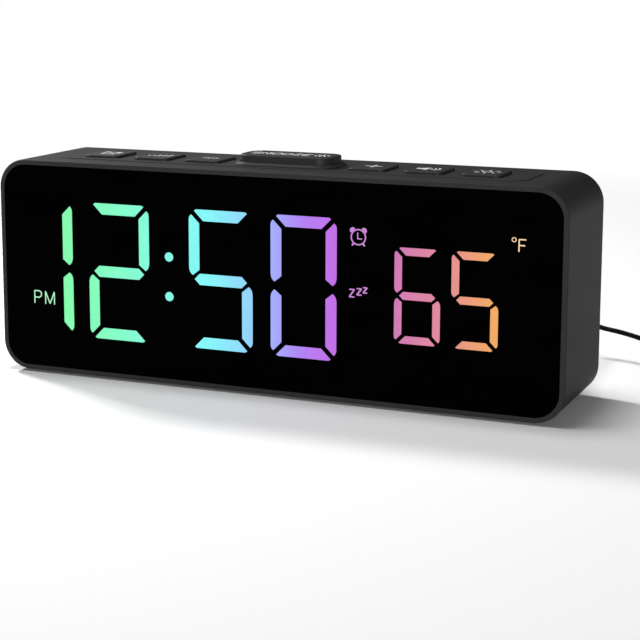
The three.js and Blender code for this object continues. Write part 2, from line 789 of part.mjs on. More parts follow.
function makeDisplayBoard() {
  const sheet = roundedRect(
    DISPLAY_BOARD_WIDTH,
    DISPLAY_BOARD_HEIGHT,
    BOARD_CORNER,
    0,
    CASE_MIDDLE,
  );
  const board = solid(plateY(sheet, DISPLAY_BOARD_FRONT, DISPLAY_BOARD_REAR, { curve: 2 }));
  const lamps = WINDOWS.map((window) => {
    const [lampX, lampZ] = lampSize(window);
    const rear = DISPLAY_BOARD_FRONT + SNUG;
    const depth = LAMP_HEIGHT + SNUG;
    return box(lampX, depth, lampZ, window.x, rear - depth / 2, window.z);
  });
  const hole = BOARD_SCREW.shank + 2 * SCREW_FIT;
  const holes = CORNERS.map(([sx, sz]) =>
    rodY(
      hole,
      DISPLAY_BOARD_FRONT - 1,
      DISPLAY_BOARD_REAR + 1,
      sx * DISPLAY_SCREW_X,
      CASE_MIDDLE + sz * DISPLAY_SCREW_Z,
      10,
    ),
  );
  add("display_board", cut(join([board, ...lamps]), holes), BOARD_GREEN);
}

// Half the outline of a pan-head screw as [radius, way along], from its tip to its head's top
function screwProfile({ shank, head, headHeight, length }) {
  return [
    [0, -length],
    [shank / 2, -length + SCREW_TIP],
    [shank / 2, 0],
    [head / 2, 0],
    [head / 2, headHeight * 0.6],
    [head / 2 - HEAD_EDGE, headHeight],
    [0, headHeight],
  ];
}

function makeScrews() {
  CORNERS.forEach(([sx, sz], i) => {
    const boardSeat = DISPLAY_BOARD_REAR + SNUG / 2;
    const boardScrew = turnedY(
      screwProfile(BOARD_SCREW),
      SCREW_SIDES,
      sx * DISPLAY_SCREW_X,
      boardSeat,
      CASE_MIDDLE + sz * DISPLAY_SCREW_Z,
    );
    add(`display_screw_${i + 1}`, boardScrew, STEEL);
    const coverScrew = turnedY(
      screwProfile(COVER_SCREW),
      SCREW_SIDES,
      sx * COVER_POST_X,
      COVER_SCREW_SEAT + SNUG,
      CASE_MIDDLE + sz * COVER_POST_Z,
    );
    add(`cover_screw_${i + 1}`, coverScrew, STEEL);
  });
  SIDES.forEach((side, i) => {
    const seat = KEY_BOARD_BOTTOM - SNUG / 2;
    const upward = screwProfile(BOARD_SCREW)
      .map(([radius, way]) => [radius, -way])
      .reverse();
    const screw = turnedZ(upward, SCREW_SIDES, side * KEY_BOSS_X, KEY_ROW_Y, seat);
    add(`key_board_screw_${i + 1}`, screw, STEEL);
  });
}

// A key: its cap comes up through the strip, its flange stays under the case top and its stem
// stands over the switch
function makeKeys() {
  for (const { name, x, width, depth, corner, edge, top, curve } of PRESSED) {
    const cap = plateZ(
      roundedRect(width, depth, corner, x, KEY_ROW_Y),
      FLANGE_BOTTOM + KEY_FLANGE_THICKNESS / 2,
      top,
      { curve, bevel: edge, steps: 2 },
    );
    const flange = plateZ(
      roundedRect(
        width + 2 * KEY_FLANGE,
        depth + 2 * KEY_FLANGE,
        corner + KEY_FLANGE,
        x,
        KEY_ROW_Y,
      ),
      FLANGE_BOTTOM,
      FLANGE_TOP,
      { curve },
    );
    const stem = rodZ(STEM_DIAMETER, FLANGE_BOTTOM - STEM_LENGTH, FLANGE_TOP, x, KEY_ROW_Y, 12);
    add(name, join([solid(cap), solid(flange), stem]), KEY_GREY);
  }
}

function makeSwitches() {
  for (const { label, x, travel } of PRESSED) {
    const housing = plateZ(
      roundedRect(SWITCH_SIZE, SWITCH_SIZE, SWITCH_CORNER, x, KEY_ROW_Y),
      SWITCH_TOP - SWITCH_HEIGHT,
      SWITCH_TOP,
      { curve: 2 },
    );
    const foot = SWITCH_TOP - PLUNGER_SUNK;
    const boreFloor = foot - travel - SNUG;
    const bore = rodZ(PLUNGER_DIAMETER + 2 * SNUG, boreFloor, SWITCH_TOP + 1, x, KEY_ROW_Y, 12);
    add(`switch_${label}`, solid(housing).subtract(bore), BLACK);
    add(`plunger_${label}`, rodZ(PLUNGER_DIAMETER, foot, PLUNGER_TOP, x, KEY_ROW_Y, 12), AMBER);
  }
}

function makeKeyBoard() {
  const width = 2 * (KEY_BOSS_X + KEY_BOARD_OVERHANG);
  const sheet = roundedRect(width, KEY_BOARD_DEPTH, BOARD_CORNER, 0, KEY_ROW_Y);
  const board = solid(plateZ(sheet, KEY_BOARD_BOTTOM, KEY_BOARD_TOP, { curve: 2 }));
  const hole = BOARD_SCREW.shank + 2 * SCREW_FIT;
  const holes = SIDES.map((side) =>
    rodZ(hole, KEY_BOARD_BOTTOM - 1, KEY_BOARD_TOP + 1, side * KEY_BOSS_X, KEY_ROW_Y, 10),
  );
  add("key_board", cut(board, holes), BOARD_GREEN);
}

// The flat ribbon from under the key board round to the back of the display board
function makeRibbon() {
  const top = KEY_BOARD_BOTTOM - SNUG;
  const front = DISPLAY_BOARD_REAR + SNUG;
  const start = new THREE.Vector2(KEY_ROW_Y + KEY_BOARD_DEPTH / 4, top);
  const turn = start.x - front;
  const shape = new THREE.Shape();
  shape.moveTo(start.x, top);
  shape.lineTo(start.x, top - RIBBON_THICKNESS);
  shape.absarc(start.x, top - turn, turn - RIBBON_THICKNESS, Math.PI / 2, Math.PI, false);
  shape.lineTo(front + RIBBON_THICKNESS, top - 2 * turn);
  shape.lineTo(front, top - 2 * turn);
  shape.absarc(start.x, top - turn, turn, Math.PI, Math.PI / 2, true);
  const geometry = new THREE.ExtrudeGeometry(shape, {
    depth: RIBBON_WIDTH,
    curveSegments: 4,
    bevelEnabled: false,
  });
  geometry.rotateX(Math.PI / 2);
  geometry.rotateZ(Math.PI / 2);
  geometry.translate(-RIBBON_WIDTH / 2, 0, 0);
  add("key_ribbon", solid(geometry), AMBER);
}

// Rear cover and what it carries
function coverSlots() {
  const slots = [];
  for (let i = 0; i < SLOT_COUNT; i += 1) {
    const offset = (i - (SLOT_COUNT - 1) / 2) * SLOT_PITCH;
    const length = 2 * Math.sqrt((GRILLE_DIAMETER / 2) ** 2 - offset ** 2);
    const slot = roundedRect(length, SLOT_WIDTH, SLOT_WIDTH / 2 - OVERCUT, SPEAKER_X, SPEAKER_Z + offset);
    slots.push(solid(plateY(slot, COVER_FRONT - 1, COVER_REAR + 1, { curve: 2 })));
  }
  for (let i = 0; i < VENT_COUNT; i += 1) {
    const x = VENT_X + (i - (VENT_COUNT - 1) / 2) * SLOT_PITCH;
    const vent = roundedRect(SLOT_WIDTH, VENT_LENGTH, SLOT_WIDTH / 2 - OVERCUT, x, VENT_Z);
    slots.push(solid(plateY(vent, COVER_FRONT - 1, COVER_REAR + 1, { curve: 2 })));
  }
  return slots;
}

const DOOR_FRONT = COVER_REAR - DOOR_THICKNESS;
const DOOR_SEAT = DOOR_FRONT - FIT;
const DOOR_BOTTOM = BAY_Z - DOOR_HEIGHT / 2;
const CELL_REAR = DOOR_SEAT - FIT;
const CELL_FRONT = CELL_REAR - CELL_THICKNESS;
const BAY_FRONT = CELL_FRONT - 2 * SNUG - CONTACT_THICKNESS;
const PLUS_Z = BAY_Z + CELL_DIAMETER / 2 + FIT;
const LUG_SLOT_FRONT = DOOR_SEAT - LUG_SWING;
const PLUS_POCKET = { width: CONTACT_WIDTH, height: 1.6, depth: CELL_THICKNESS + 1 };

// What stands on the inner side of the cover: the door's frame, the cell's cup with its
// shoulder for the side contact, the speaker's ring and the inlet's two cheeks
function coverBosses() {
  const frame = roundedRect(
    DOOR_WIDTH + 2 * DOOR_FRAME_SIDE,
    DOOR_HEIGHT + 2 * DOOR_FRAME_END,
    DOOR_CORNER,
    BAY_X,
    BAY_Z,
  );
  const cup = CELL_DIAMETER + 2 * (FIT + BAY_WALL);
  const shoulder = box(
    PLUS_POCKET.width + 2,
    PLUS_POCKET.depth,
    PLUS_POCKET.height + 3,
    BAY_X,
    DOOR_SEAT - PLUS_POCKET.depth / 2,
    PLUS_Z,
  );
  const ring = rodY(
    SPEAKER_DIAMETER + 2 * (FIT + SPEAKER_RING),
    COVER_FRONT - SPEAKER_RING_DEPTH,
    BOSS_REAR,
    SPEAKER_X,
    SPEAKER_Z,
    24,
  );
  const cheekX = JACK_WIDTH / 2 + FIT + RIB_THICKNESS / 2;
  const cheekY = (COVER_FRONT - NEST_DEPTH + BOSS_REAR) / 2;
  const cheekDepth = BOSS_REAR - COVER_FRONT + NEST_DEPTH;
  const cheeks = SIDES.map((side) =>
    box(RIB_THICKNESS, cheekDepth, JACK_HEIGHT, INLET_X + side * cheekX, cheekY, INLET_Z),
  );
  return [
    solid(plateY(frame, LUG_SLOT_FRONT - BAY_FLOOR / 2, BOSS_REAR)),
    rodY(cup, BAY_FRONT - BAY_FLOOR, BOSS_REAR, BAY_X, BAY_Z, 24),
    shoulder,
    ring,
    ...cheeks,
  ];
}

// Doorway, cell cup, finger notch and the pockets of the door's two lugs
function bayPockets() {
  const doorway = roundedRect(
    DOOR_WIDTH + 2 * FIT,
    DOOR_HEIGHT + 2 * FIT,
    DOOR_CORNER + FIT,
    BAY_X,
    BAY_Z,
  );
  const plusPocket = box(
    PLUS_POCKET.width,
    PLUS_POCKET.depth,
    PLUS_POCKET.height,
    BAY_X,
    (CELL_FRONT + DOOR_SEAT) / 2 + FIT,
    PLUS_Z,
  );
  const notchTop = BAY_Z + DOOR_HEIGHT / 2;
  const slotRear = DOOR_FRONT + LUG_THICKNESS + FIT;
  const slotLow = DOOR_BOTTOM - LUG_LENGTH - FIT;
  const slotHigh = DOOR_BOTTOM + LUG_HEADROOM;
  const slots = SIDES.map((side) =>
    box(
      LUG_WIDTH + 2 * FIT,
      slotRear - LUG_SLOT_FRONT,
      slotHigh - slotLow,
      BAY_X + (side * LUG_SPREAD) / 2,
      (slotRear + LUG_SLOT_FRONT) / 2,
      (slotHigh + slotLow) / 2,
    ),
  );
  return [
    solid(plateY(doorway, DOOR_SEAT, REAR, { curve: 3 })),
    rodY(CELL_DIAMETER + 2 * FIT, BAY_FRONT, REAR, BAY_X, BAY_Z, 24),
    plusPocket,
    rodY(FINGER_NOTCH, COVER_REAR - FINGER_NOTCH_DEPTH, REAR, BAY_X, notchTop, 20),
    ...slots,
  ];
}

// Speaker's seat, inlet hole with the grip's shallow pocket, and screw holes
function coverHoles() {
  const seatFront = COVER_FRONT - SPEAKER_DEPTH;
  const pocketFront = BOSS_REAR - FIT;
  const holes = [
    rodY(SPEAKER_DIAMETER + 2 * FIT, seatFront, COVER_FRONT, SPEAKER_X, SPEAKER_Z, 24),
    rodY(BARREL_DIAMETER + 2 * FIT, COVER_FRONT - 1, REAR, INLET_X, INLET_Z),
    rodY(GRIP_DIAMETER + 2 * GRIP_POCKET, pocketFront, REAR, INLET_X, INLET_Z, 20),
  ];
  for (const [sx, sz] of CORNERS) {
    const x = sx * COVER_POST_X;
    const z = CASE_MIDDLE + sz * COVER_POST_Z;
    holes.push(rodY(COVER_SCREW.shank + 2 * SCREW_FIT, COVER_FRONT - 1, REAR, x, z, 12));
    holes.push(rodY(COVER_SCREW.head + 2 * FIT, COVER_SCREW_SEAT, REAR, x, z, 14));
  }
  return holes;
}

function makeRearCover() {
  const plate = solid(plateY(cavityOutline(FIT), COVER_FRONT, COVER_REAR, { curve: 8 }));
  const cover = cut(join([plate, ...coverBosses()]), [
    ...coverSlots(),
    ...bayPockets(),
    ...coverHoles(),
  ]);
  add("rear_cover", cover, CHARCOAL);
}

function makeBatteryDoor() {
  const panel = solid(
    plateY(
      roundedRect(DOOR_WIDTH, DOOR_HEIGHT, DOOR_CORNER, BAY_X, BAY_Z),
      DOOR_FRONT,
      COVER_REAR,
      { curve: 3 },
    ),
  );
  const lugs = SIDES.map((side) =>
    box(
      LUG_WIDTH,
      LUG_THICKNESS,
      2 * LUG_LENGTH,
      BAY_X + (side * LUG_SPREAD) / 2,
      DOOR_FRONT + LUG_THICKNESS / 2,
      DOOR_BOTTOM,
    ),
  );
  add("battery_door", join([panel, ...lugs]), CHARCOAL);
}

function makeCell() {
  const r = CELL_DIAMETER / 2;
  const t = CELL_THICKNESS;
  const profile = [
    [0, 0],
    [r - 1.3, 0],
    [r - 1.1, 0.35],
    [r - 0.3, 0.45],
    [r, 0.8],
    [r, t],
    [0, t],
  ];
  add("coin_cell", turnedY(profile, 24, BAY_X, CELL_FRONT, BAY_Z), NICKEL);
  const minus = roundedRect(CONTACT_WIDTH, CONTACT_LENGTH, 1, BAY_X, BAY_Z);
  const minusFront = BAY_FRONT + SNUG;
  add(
    "cell_contact_minus",
    solid(plateY(minus, minusFront, minusFront + CONTACT_THICKNESS, { curve: 2 })),
    NICKEL,
  );
  const plus = box(
    CONTACT_WIDTH - 1,
    CELL_THICKNESS - 2 * SNUG,
    CONTACT_THICKNESS,
    BAY_X,
    (CELL_FRONT + CELL_REAR) / 2,
    PLUS_Z + CONTACT_THICKNESS / 2,
  );
  add("cell_contact_plus", plus, NICKEL);
}

function makeSpeaker() {
  const rim = SPEAKER_DIAMETER / 2;
  const magnet = rim / 2;
  const dome = rim / 4;
  const profile = [
    [0, -SPEAKER_DEPTH],
    [magnet, -SPEAKER_DEPTH],
    [magnet, -SPEAKER_DEPTH / 2],
    [rim - 1, -1],
    [rim, -1],
    [rim, 0],
    [rim - 1.6, 0],
    [rim - 2.6, -0.5],
    [dome + 1.6, -1.5],
    [dome, -1.1],
    [0, -0.9],
  ];
  add("speaker", turnedY(profile, 20, SPEAKER_X, COVER_FRONT - FIT, SPEAKER_Z), BLACK);
}

function makeJack() {
  const rear = COVER_FRONT - FIT;
  const front = rear - JACK_DEPTH;
  const boreEnd = PLUG_SEAT - BARREL_LENGTH - FIT;
  const block = box(JACK_WIDTH, JACK_DEPTH, JACK_HEIGHT, INLET_X, (front + rear) / 2, INLET_Z);
  const bore = rodY(BARREL_DIAMETER + 2 * FIT, boreEnd, rear + 1, INLET_X, INLET_Z);
  const pin = rodY(PIN_DIAMETER, front + FIT, rear - 1, INLET_X, INLET_Z, 8);
  add("dc_jack", block.subtract(bore).add(pin), BLACK);
}

function makeSensor() {
  const beadY = COVER_FRONT - SENSOR_SET_BACK;
  const start = DISPLAY_BOARD_REAR + SNUG;
  const leads = SIDES.map((side) =>
    rodY(SENSOR_LEAD, start, beadY, VENT_X + (side * SENSOR_SPREAD) / 2, VENT_Z, 6),
  );
  const bead = new THREE.SphereGeometry(SENSOR_BEAD / 2, 8, 6);
  bead.translate(VENT_X, beadY, VENT_Z);
  add("temperature_sensor", join([solid(bead), ...leads]), BLACK);
}

function makeFeet() {
  CORNERS.forEach(([sx, sy], i) => {
    const top = FOOT_HEIGHT + FOOT_SUNK - SNUG / 2;
    const pad = plateZ(disc(FOOT_DIAMETER, sx * FOOT_X, sy * FOOT_Y), 0, top, {
      curve: 20,
      bevel: FOOT_EDGE,
    });
    add(`foot_${i + 1}`, solid(pad), RUBBER);
  });
}

// Plug in the power inlet: metal barrel and moulded grip with its tapered relief
function makePowerPlug() {
  const tip = PLUG_SEAT - BARREL_LENGTH;
  const seat = PLUG_SEAT - SNUG / 2;
  const boreFloor = PLUG_SEAT - BARREL_BORE_FLOOR;
  const shank = rodY(BARREL_DIAMETER, tip, seat, INLET_X, INLET_Z);
  const bore = rodY(BARREL_BORE, tip - 1, boreFloor, INLET_X, INLET_Z, 10);
  add("dc_plug_barrel", shank.subtract(bore), NICKEL);
  const r = GRIP_DIAMETER / 2;
  const end = GRIP_LENGTH + RELIEF_LENGTH;
  const profile = [
    [0, 0],
    [r - 0.4, 0],
    [r, 0.4],
    [r, GRIP_LENGTH * 0.6],
    [r - 0.35, GRIP_LENGTH * 0.75],
    [r - 0.6, GRIP_LENGTH - 0.8],
    [r - 1.2, GRIP_LENGTH],
    [CORD_RADIUS + RELIEF_ROOT, GRIP_LENGTH],
    [CORD_RADIUS + RELIEF_TIP, end],
    [0, end],
  ];
  add("dc_plug_grip", turnedY(profile, 16, INLET_X, PLUG_SEAT, INLET_Z), RUBBER);
}

// A tube through points along a smooth curve
function cordTube(points, steps) {
  const curve = new THREE.CatmullRomCurve3(points, false, "centripetal");
  const section = disc(CORD_DIAMETER);
  const geometry = new THREE.ExtrudeGeometry(section, {
    steps,
    curveSegments: CORD_SIDES / 2,
    extrudePath: curve,
    bevelEnabled: false,
  });
  return { body: solid(geometry), length: curve.getLength() };
}

// The lead from the plug's relief to the coil's first turn: x and y are counted from the
// relief's tip, z from the table
const LEAD_ROUTE = [
  [0, FIT, INLET_Z],
  [0, 3.3, INLET_Z],
  [0, 9.5, 18.5],
  [0.1, 16.5, 18],
  [0.5, 23.5, 17.3],
  [1.8, 29.8, 16.3],
  [4.6, 34.1, 14.9],
  [9.3, 35.3, 13.4],
  [15.1, 33.5, 12],
  [21.9, 30, 10.8],
  [28.6, 27.7, 10.3],
  [35.4, 25.4, 9.4],
  [42.5, 22.2, 8],
  [49.5, 18, 6.4],
  [56, 13.3, 4.6],
  [62.5, 8.7, 3],
  [68.5, 4.8, 1.9],
  [74, 1.9, 1.4],
].map(([x, y, z]) => new THREE.Vector3(INLET_X + x, RELIEF_END + y, z));

// One turn count t of the coil: its angle runs clockwise from the rear, its radius goes in and
// out again, and it climbs a layer in the half turn where the radius turns back
function coilPoint(t) {
  const layer = t / LOOPS_PER_LAYER;
  const folded = Math.abs(((layer + 1) % 2) - 1);
  const radius = COIL_OUTER - COIL_PITCH * LOOPS_PER_LAYER * folded;
  const nearest = THREE.MathUtils.clamp(Math.round(layer), 1, COIL_LAYERS - 1);
  const climb = THREE.MathUtils.smoothstep((t - nearest * LOOPS_PER_LAYER) * 2 + 0.5, 0, 1);
  const angle = Math.PI / 2 - 2 * Math.PI * t;
  return new THREE.Vector3(
    COIL_X + radius * Math.cos(angle),
    COIL_Y + radius * Math.sin(angle),
    COIL_BASE + COIL_PITCH * (nearest - 1 + climb),
  );
}

function coilPath() {
  const points = [];
  const count = COIL_LOOPS * LOOP_STEPS;
  for (let i = 0; i <= count; i += 1) {
    points.push(coilPoint(i / LOOP_STEPS));
  }
  const first = points[0].clone();
  const last = points[count].clone();
  first.x -= CORD_DIAMETER;
  last.x += CORD_DIAMETER;
  return [first, ...points, last];
}

// Least distance between turns of the coil, from surface to surface
function leastSelfGap(points) {
  let least = Infinity;
  const apart = LOOP_STEPS / 2;
  for (let i = 0; i < points.length; i += 1) {
    for (let j = i + apart; j < points.length; j += 1) {
      const a = points[j];
      const b = points[Math.min(j + 1, points.length - 1)];
      const line = new THREE.Line3(a, b);
      const nearest = line.closestPointToPoint(points[i], true, new THREE.Vector3());
      least = Math.min(least, nearest.distanceTo(points[i]));
    }
  }
  return least - CORD_DIAMETER;
}

// A closed tube over a list of points, its section kept upright
function woundTube(points) {
  const positions = [];
  const index = [];
  const count = points.length;
  points.forEach((point, i) => {
    const before = points[Math.max(i - 1, 0)];
    const after = points[Math.min(i + 1, count - 1)];
    const along = after.clone().sub(before).normalize();
    const level = new THREE.Vector3(0, 0, 1).cross(along).normalize();
    const upright = new THREE.Vector3().crossVectors(along, level);
    for (let k = 0; k < COIL_SIDES; k += 1) {
      const angle = (2 * Math.PI * k) / COIL_SIDES;
      const p = point
        .clone()
        .addScaledVector(level, CORD_RADIUS * Math.cos(angle))
        .addScaledVector(upright, CORD_RADIUS * Math.sin(angle));
      positions.push(p.x, p.y, p.z);
    }
  });
  for (let i = 0; i < count - 1; i += 1) {
    for (let k = 0; k < COIL_SIDES; k += 1) {
      const a = i * COIL_SIDES + k;
      const b = i * COIL_SIDES + ((k + 1) % COIL_SIDES);
      index.push(a, b, b + COIL_SIDES, a, b + COIL_SIDES, a + COIL_SIDES);
    }
  }
  const end = (count - 1) * COIL_SIDES;
  for (let k = 1; k < COIL_SIDES - 1; k += 1) {
    index.push(0, k + 1, k, end, end + k, end + k + 1);
  }
  const geometry = new THREE.BufferGeometry();
  geometry.setAttribute("position", new THREE.Float32BufferAttribute(positions, 3));
  geometry.setIndex(index);
  return solid(geometry);
}

function pathLength(points) {
  return points.slice(1).reduce((sum, point, i) => sum + point.distanceTo(points[i]), 0);
}

function makeCord() {
  const coil = coilPath();
  const coilStart = coil[0].clone();
  const coilEnd = coil[coil.length - 1].clone();
  coilStart.x -= FIT;
  coilEnd.x += FIT;
  const approach = coilStart.clone();
  approach.x -= 2 * CORD_DIAMETER;
  const lead = cordTube([...LEAD_ROUTE, approach, coilStart], LEAD_STEPS);
  add("cord_lead", lead.body, RUBBER);
  add("cord_coil", woundTube(coil), RUBBER);

  const usbZ = USB_LIFT + USB_GRIP.height / 2;
  const tailEnd = new THREE.Vector3(USB_X, USB_REAR + RELIEF_LENGTH + FIT, usbZ);
  const leaving = coilEnd.clone();
  leaving.x += CORD_DIAMETER;
  const entering = tailEnd.clone();
  entering.y += 1.5 * CORD_DIAMETER;
  const bend = [
    new THREE.Vector3(coilEnd.x + 7, coilEnd.y - 0.6, COIL_TOP - 0.4),
    new THREE.Vector3(USB_X - 3.2, coilEnd.y - 2.6, (COIL_TOP + usbZ) / 2),
  ];
  const tail = cordTube([coilEnd, leaving, ...bend, entering, tailEnd], TAIL_STEPS);
  add("cord_tail", tail.body, RUBBER);

  const wound = pathLength(coil);
  const total = lead.length + wound + tail.length;
  const lengths = [lead.length, wound, tail.length, total].map((length) => length.toFixed(1));
  console.log(`cord, mm: lead, coil, tail, total ${lengths.join(", ")}`);
  console.log(`cord_coil: least gap to itself ${leastSelfGap(coil).toFixed(3)} mm`);
}

// The tie round the front of the coil's bundle
function makeTie() {
  const near = COIL_OUTER - COIL_PITCH * (LOOPS_PER_LAYER - 0.5) - CORD_RADIUS - 2 * FIT;
  const far = COIL_OUTER - COIL_PITCH / 2 + CORD_RADIUS + FIT;
  const low = CORD_LIFT - USB_LIFT;
  const high = COIL_TOP + CORD_RADIUS + FIT;
  const width = far - near;
  const height = high - low;
  const y = COIL_Y - (far + near) / 2;
  const z = (high + low) / 2;
  const band = roundedRect(
    width + 2 * TIE_THICKNESS,
    height + 2 * TIE_THICKNESS,
    TIE_CORNER + TIE_THICKNESS,
    y,
    z,
  );
  band.holes.push(roundedRect(width, height, TIE_CORNER, y, z));
  const geometry = new THREE.ExtrudeGeometry(band, {
    depth: TIE_WIDTH,
    curveSegments: 2,
    bevelEnabled: false,
  });
  geometry.rotateX(Math.PI / 2);
  geometry.rotateZ(Math.PI / 2);
  geometry.translate(COIL_X - TIE_WIDTH / 2, 0, 0);
  add("cord_tie", solid(geometry), BLACK);
}

// The plug at the far end, lying flat beside the coil
function makeUsbPlug() {
  const z = USB_LIFT + USB_GRIP.height / 2;
  const front = USB_REAR - USB_GRIP.length;
  const body = roundedRect(USB_GRIP.width, USB_GRIP.height, USB_GRIP.corner, USB_X, z);
  const grip = plateY(body, front, USB_REAR, { bevel: USB_GRIP.edge });
  const reliefProfile = [
    [0, -2],
    [CORD_RADIUS + RELIEF_ROOT, -2],
    [CORD_RADIUS + RELIEF_ROOT, 0],
    [CORD_RADIUS + RELIEF_TIP, RELIEF_LENGTH],
    [0, RELIEF_LENGTH],
  ];
  const relief = turnedY(reliefProfile, 12, USB_X, USB_REAR, z);
  const innerWidth = USB_SHELL.width - 2 * USB_SHELL.wall;
  const innerHeight = USB_SHELL.height - 2 * USB_SHELL.wall;
  const tongue = box(
    innerWidth - 2 * FIT,
    USB_SHELL.length,
    USB_TONGUE,
    USB_X,
    front + 1 - USB_SHELL.length / 2,
    z + innerHeight / 2 - FIT - USB_TONGUE / 2,
  );
  add("usb_plug_grip", join([solid(grip), relief, tongue]), BLACK);
  const shell = roundedRect(USB_SHELL.width, USB_SHELL.height, USB_SHELL.corner, USB_X, z);
  const innerCorner = USB_SHELL.corner - USB_SHELL.wall;
  shell.holes.push(roundedRect(innerWidth, innerHeight, innerCorner, USB_X, z));
  const shellRear = front - FIT;
  const shellFront = shellRear - USB_SHELL.length;
  add("usb_plug_shell", solid(plateY(shell, shellFront, shellRear, { curve: 2 })), NICKEL);
}

makeCase();
makeLens();
makeDiffuser();
makeLightBox();
makeDisplayBoard();
makeKeyBoard();
makeRibbon();
makeSwitches();
makeKeys();
makeRearCover();
makeBatteryDoor();
makeCell();
makeSpeaker();
makeJack();
makeSensor();
makeScrews();
makeFeet();
makePowerPlug();
makeCord();
makeTie();
makeUsbPlug();

export default clock;
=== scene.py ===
# A bedside digital clock on a pale floor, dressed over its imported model.
# Sizes and places are in millimetres here and become metres where meshes are made.
# X runs along the front, Y from front to rear, Z up from the floor.

import math

import bpy
from mathutils import Matrix, Vector


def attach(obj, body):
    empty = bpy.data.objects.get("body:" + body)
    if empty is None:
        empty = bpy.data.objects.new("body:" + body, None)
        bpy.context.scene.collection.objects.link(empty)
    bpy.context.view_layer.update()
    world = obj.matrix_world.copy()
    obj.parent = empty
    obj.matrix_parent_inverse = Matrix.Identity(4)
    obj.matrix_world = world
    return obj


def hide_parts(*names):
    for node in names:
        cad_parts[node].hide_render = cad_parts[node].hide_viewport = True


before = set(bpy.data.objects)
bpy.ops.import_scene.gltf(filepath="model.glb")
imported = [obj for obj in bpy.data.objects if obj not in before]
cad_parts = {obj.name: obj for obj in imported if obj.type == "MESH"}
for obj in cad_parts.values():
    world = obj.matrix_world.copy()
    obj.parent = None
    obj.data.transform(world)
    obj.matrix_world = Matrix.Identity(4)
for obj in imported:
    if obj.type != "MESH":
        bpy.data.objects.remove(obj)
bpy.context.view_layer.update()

MM = 0.001

# Case
CASE_WIDTH = 190
CASE_HEIGHT = 69.6
CASE_DEPTH = 42
CASE_CORNER = 9.45
CASE_WALL = 2.2
CASE_EDGE = 0.6
FOOT_HEIGHT = 0.7
FOOT_DIAMETER = 9
FOOT_SETBACK_X = 17
FOOT_SETBACK_Y = 8
FRONT = -CASE_DEPTH / 2
REAR = CASE_DEPTH / 2
CASE_TOP = FOOT_HEIGHT + CASE_HEIGHT
MIDDLE = FOOT_HEIGHT + CASE_HEIGHT / 2
FIT = 0.3

# Front lens and its ledge
LENS_INSET = 1.72
LENS_SINK = 0.04
LENS_REAR = FRONT + 2
LEDGE_REAR = LENS_REAR + 1.6
LEDGE_INSET = 8.2

# Digits
DIGIT_WIDTH = 21.85
DIGIT_HEIGHT = 44.15
STROKE = 3.6
MITRE_SETBACK = 0.8
BAR_SETBACK = 1.4
SMALL_EXTRA_GAP = 0.45
HOUR_X = -51.04
TEN_X = HOUR_X - 27.9
MINUTE_X = -15.04
MINUTE_PITCH = 27.97
SMALL_SCALE = 0.66
SMALL_X = 49.6
SMALL_PITCH = 17.8
COLON_X = -33.05
COLON_SPREAD = 12.7
COLON_DIAMETER = 2.95

# Small signs of the display: x, height above the case's underside, height of the letter
SIGN_STROKE = 0.38
SIGN_LETTERS = {"P": (-82.7, 22.5, 4.15), "M": (-78.6, 22.5, 4.15), "F": (80.4, 50.45, 3.6)}
DEGREE_X = 78.9
DEGREE_Z = FOOT_HEIGHT + 53.9
DEGREE_RADIUS = 0.74
DEGREE_STROKE = 0.27
ALARM_X = 30.8
ALARM_Z = FOOT_HEIGHT + 51.55
ALARM_RADIUS = 2.5
ALARM_STROKE = 0.4

# The three letters of the snooze sign, the same way, and how far each is widened
SNOOZE_LETTERS = [(28, 33.2, 2.3, 1.2), (30.4, 33.95, 1.9, 1.35), (32.45, 34.7, 1.6, 1.35)]

# Top of the case
STRIP_WIDTH = 158.6
STRIP_DEPTH = 24.4
STRIP_CORNER = 5
STRIP_TOP = CASE_TOP + 0.25

# Keys and snooze bar: width, depth and corner radius, then what they share
KEY_SIZE = (12, 15, 1.8)
SNOOZE_SIZE = (31.6, 14.8, 5)
KEY_ROW_Y = -0.7
KEY_EDGE = 0.4
KEY_TOP = STRIP_TOP + 0.78
KEY_LOW = CASE_TOP - 3.7
FLANGE = 1.2
FLANGE_REACH = 1.1
INK_HEIGHT = 0.02
INK_DEPTH = 0.05
KEYS = {
    "alarm": -64.4, "set": -46.2, "minus": -28, "plus": 28, "volume": 46.2, "brightness": 64.4
}
SNOOZE_TOP = CASE_TOP + 3.47
COLLAR_SIDE = 1.4
COLLAR_FRONT = 2
COLLAR_TOP = STRIP_TOP + 1

# Rear
COVER_REAR = REAR - 0.3
COVER_FRONT = COVER_REAR - 2.2
COVER_POST_X = 83.5
COVER_POST_Z = 26
SCREW_SEAT = COVER_REAR - 1.1
SCREW_LENGTH = 9.5
SCREW_HOLE = 2.9
SCREW_WELL = 6
SPEAKER_X = -48
GRILLE_DIAMETER = 23
SLOT_WIDTH = 1.4
SLOT_CORNER = 0.69
SLOT_PITCH = 3.2
SLOT_COUNT = 7
VENT_X = 36
VENT_Z = 12
VENT_COUNT = 6
VENT_LENGTH = 8
BAY_X = 8
DOOR_WIDTH = 26
DOOR_HEIGHT = 28
DOOR_CORNER = 2
DOOR_FRONT = COVER_REAR - 1.6
DOOR_SEAT = DOOR_FRONT - FIT
DOOR_LOW = MIDDLE - DOOR_HEIGHT / 2
LUG_SPREAD = 14
LUG_WIDTH = 4
LUG_LENGTH = 1.1
LUG_THICKNESS = 0.8
LUG_SLOT_FRONT = DOOR_SEAT - 0.5
CELL_DIAMETER = 20
CELL_THICKNESS = 3.2
BAY_FRONT = DOOR_SEAT - FIT - CELL_THICKNESS - 0.7
BAY_WALL = 1.6
BAY_FLOOR = 1.4
PLUS_Z = MIDDLE + CELL_DIAMETER / 2 + FIT
SPEAKER_DIAMETER = 28
SPEAKER_DEPTH = 5.2
RING_DEPTH = 4.4
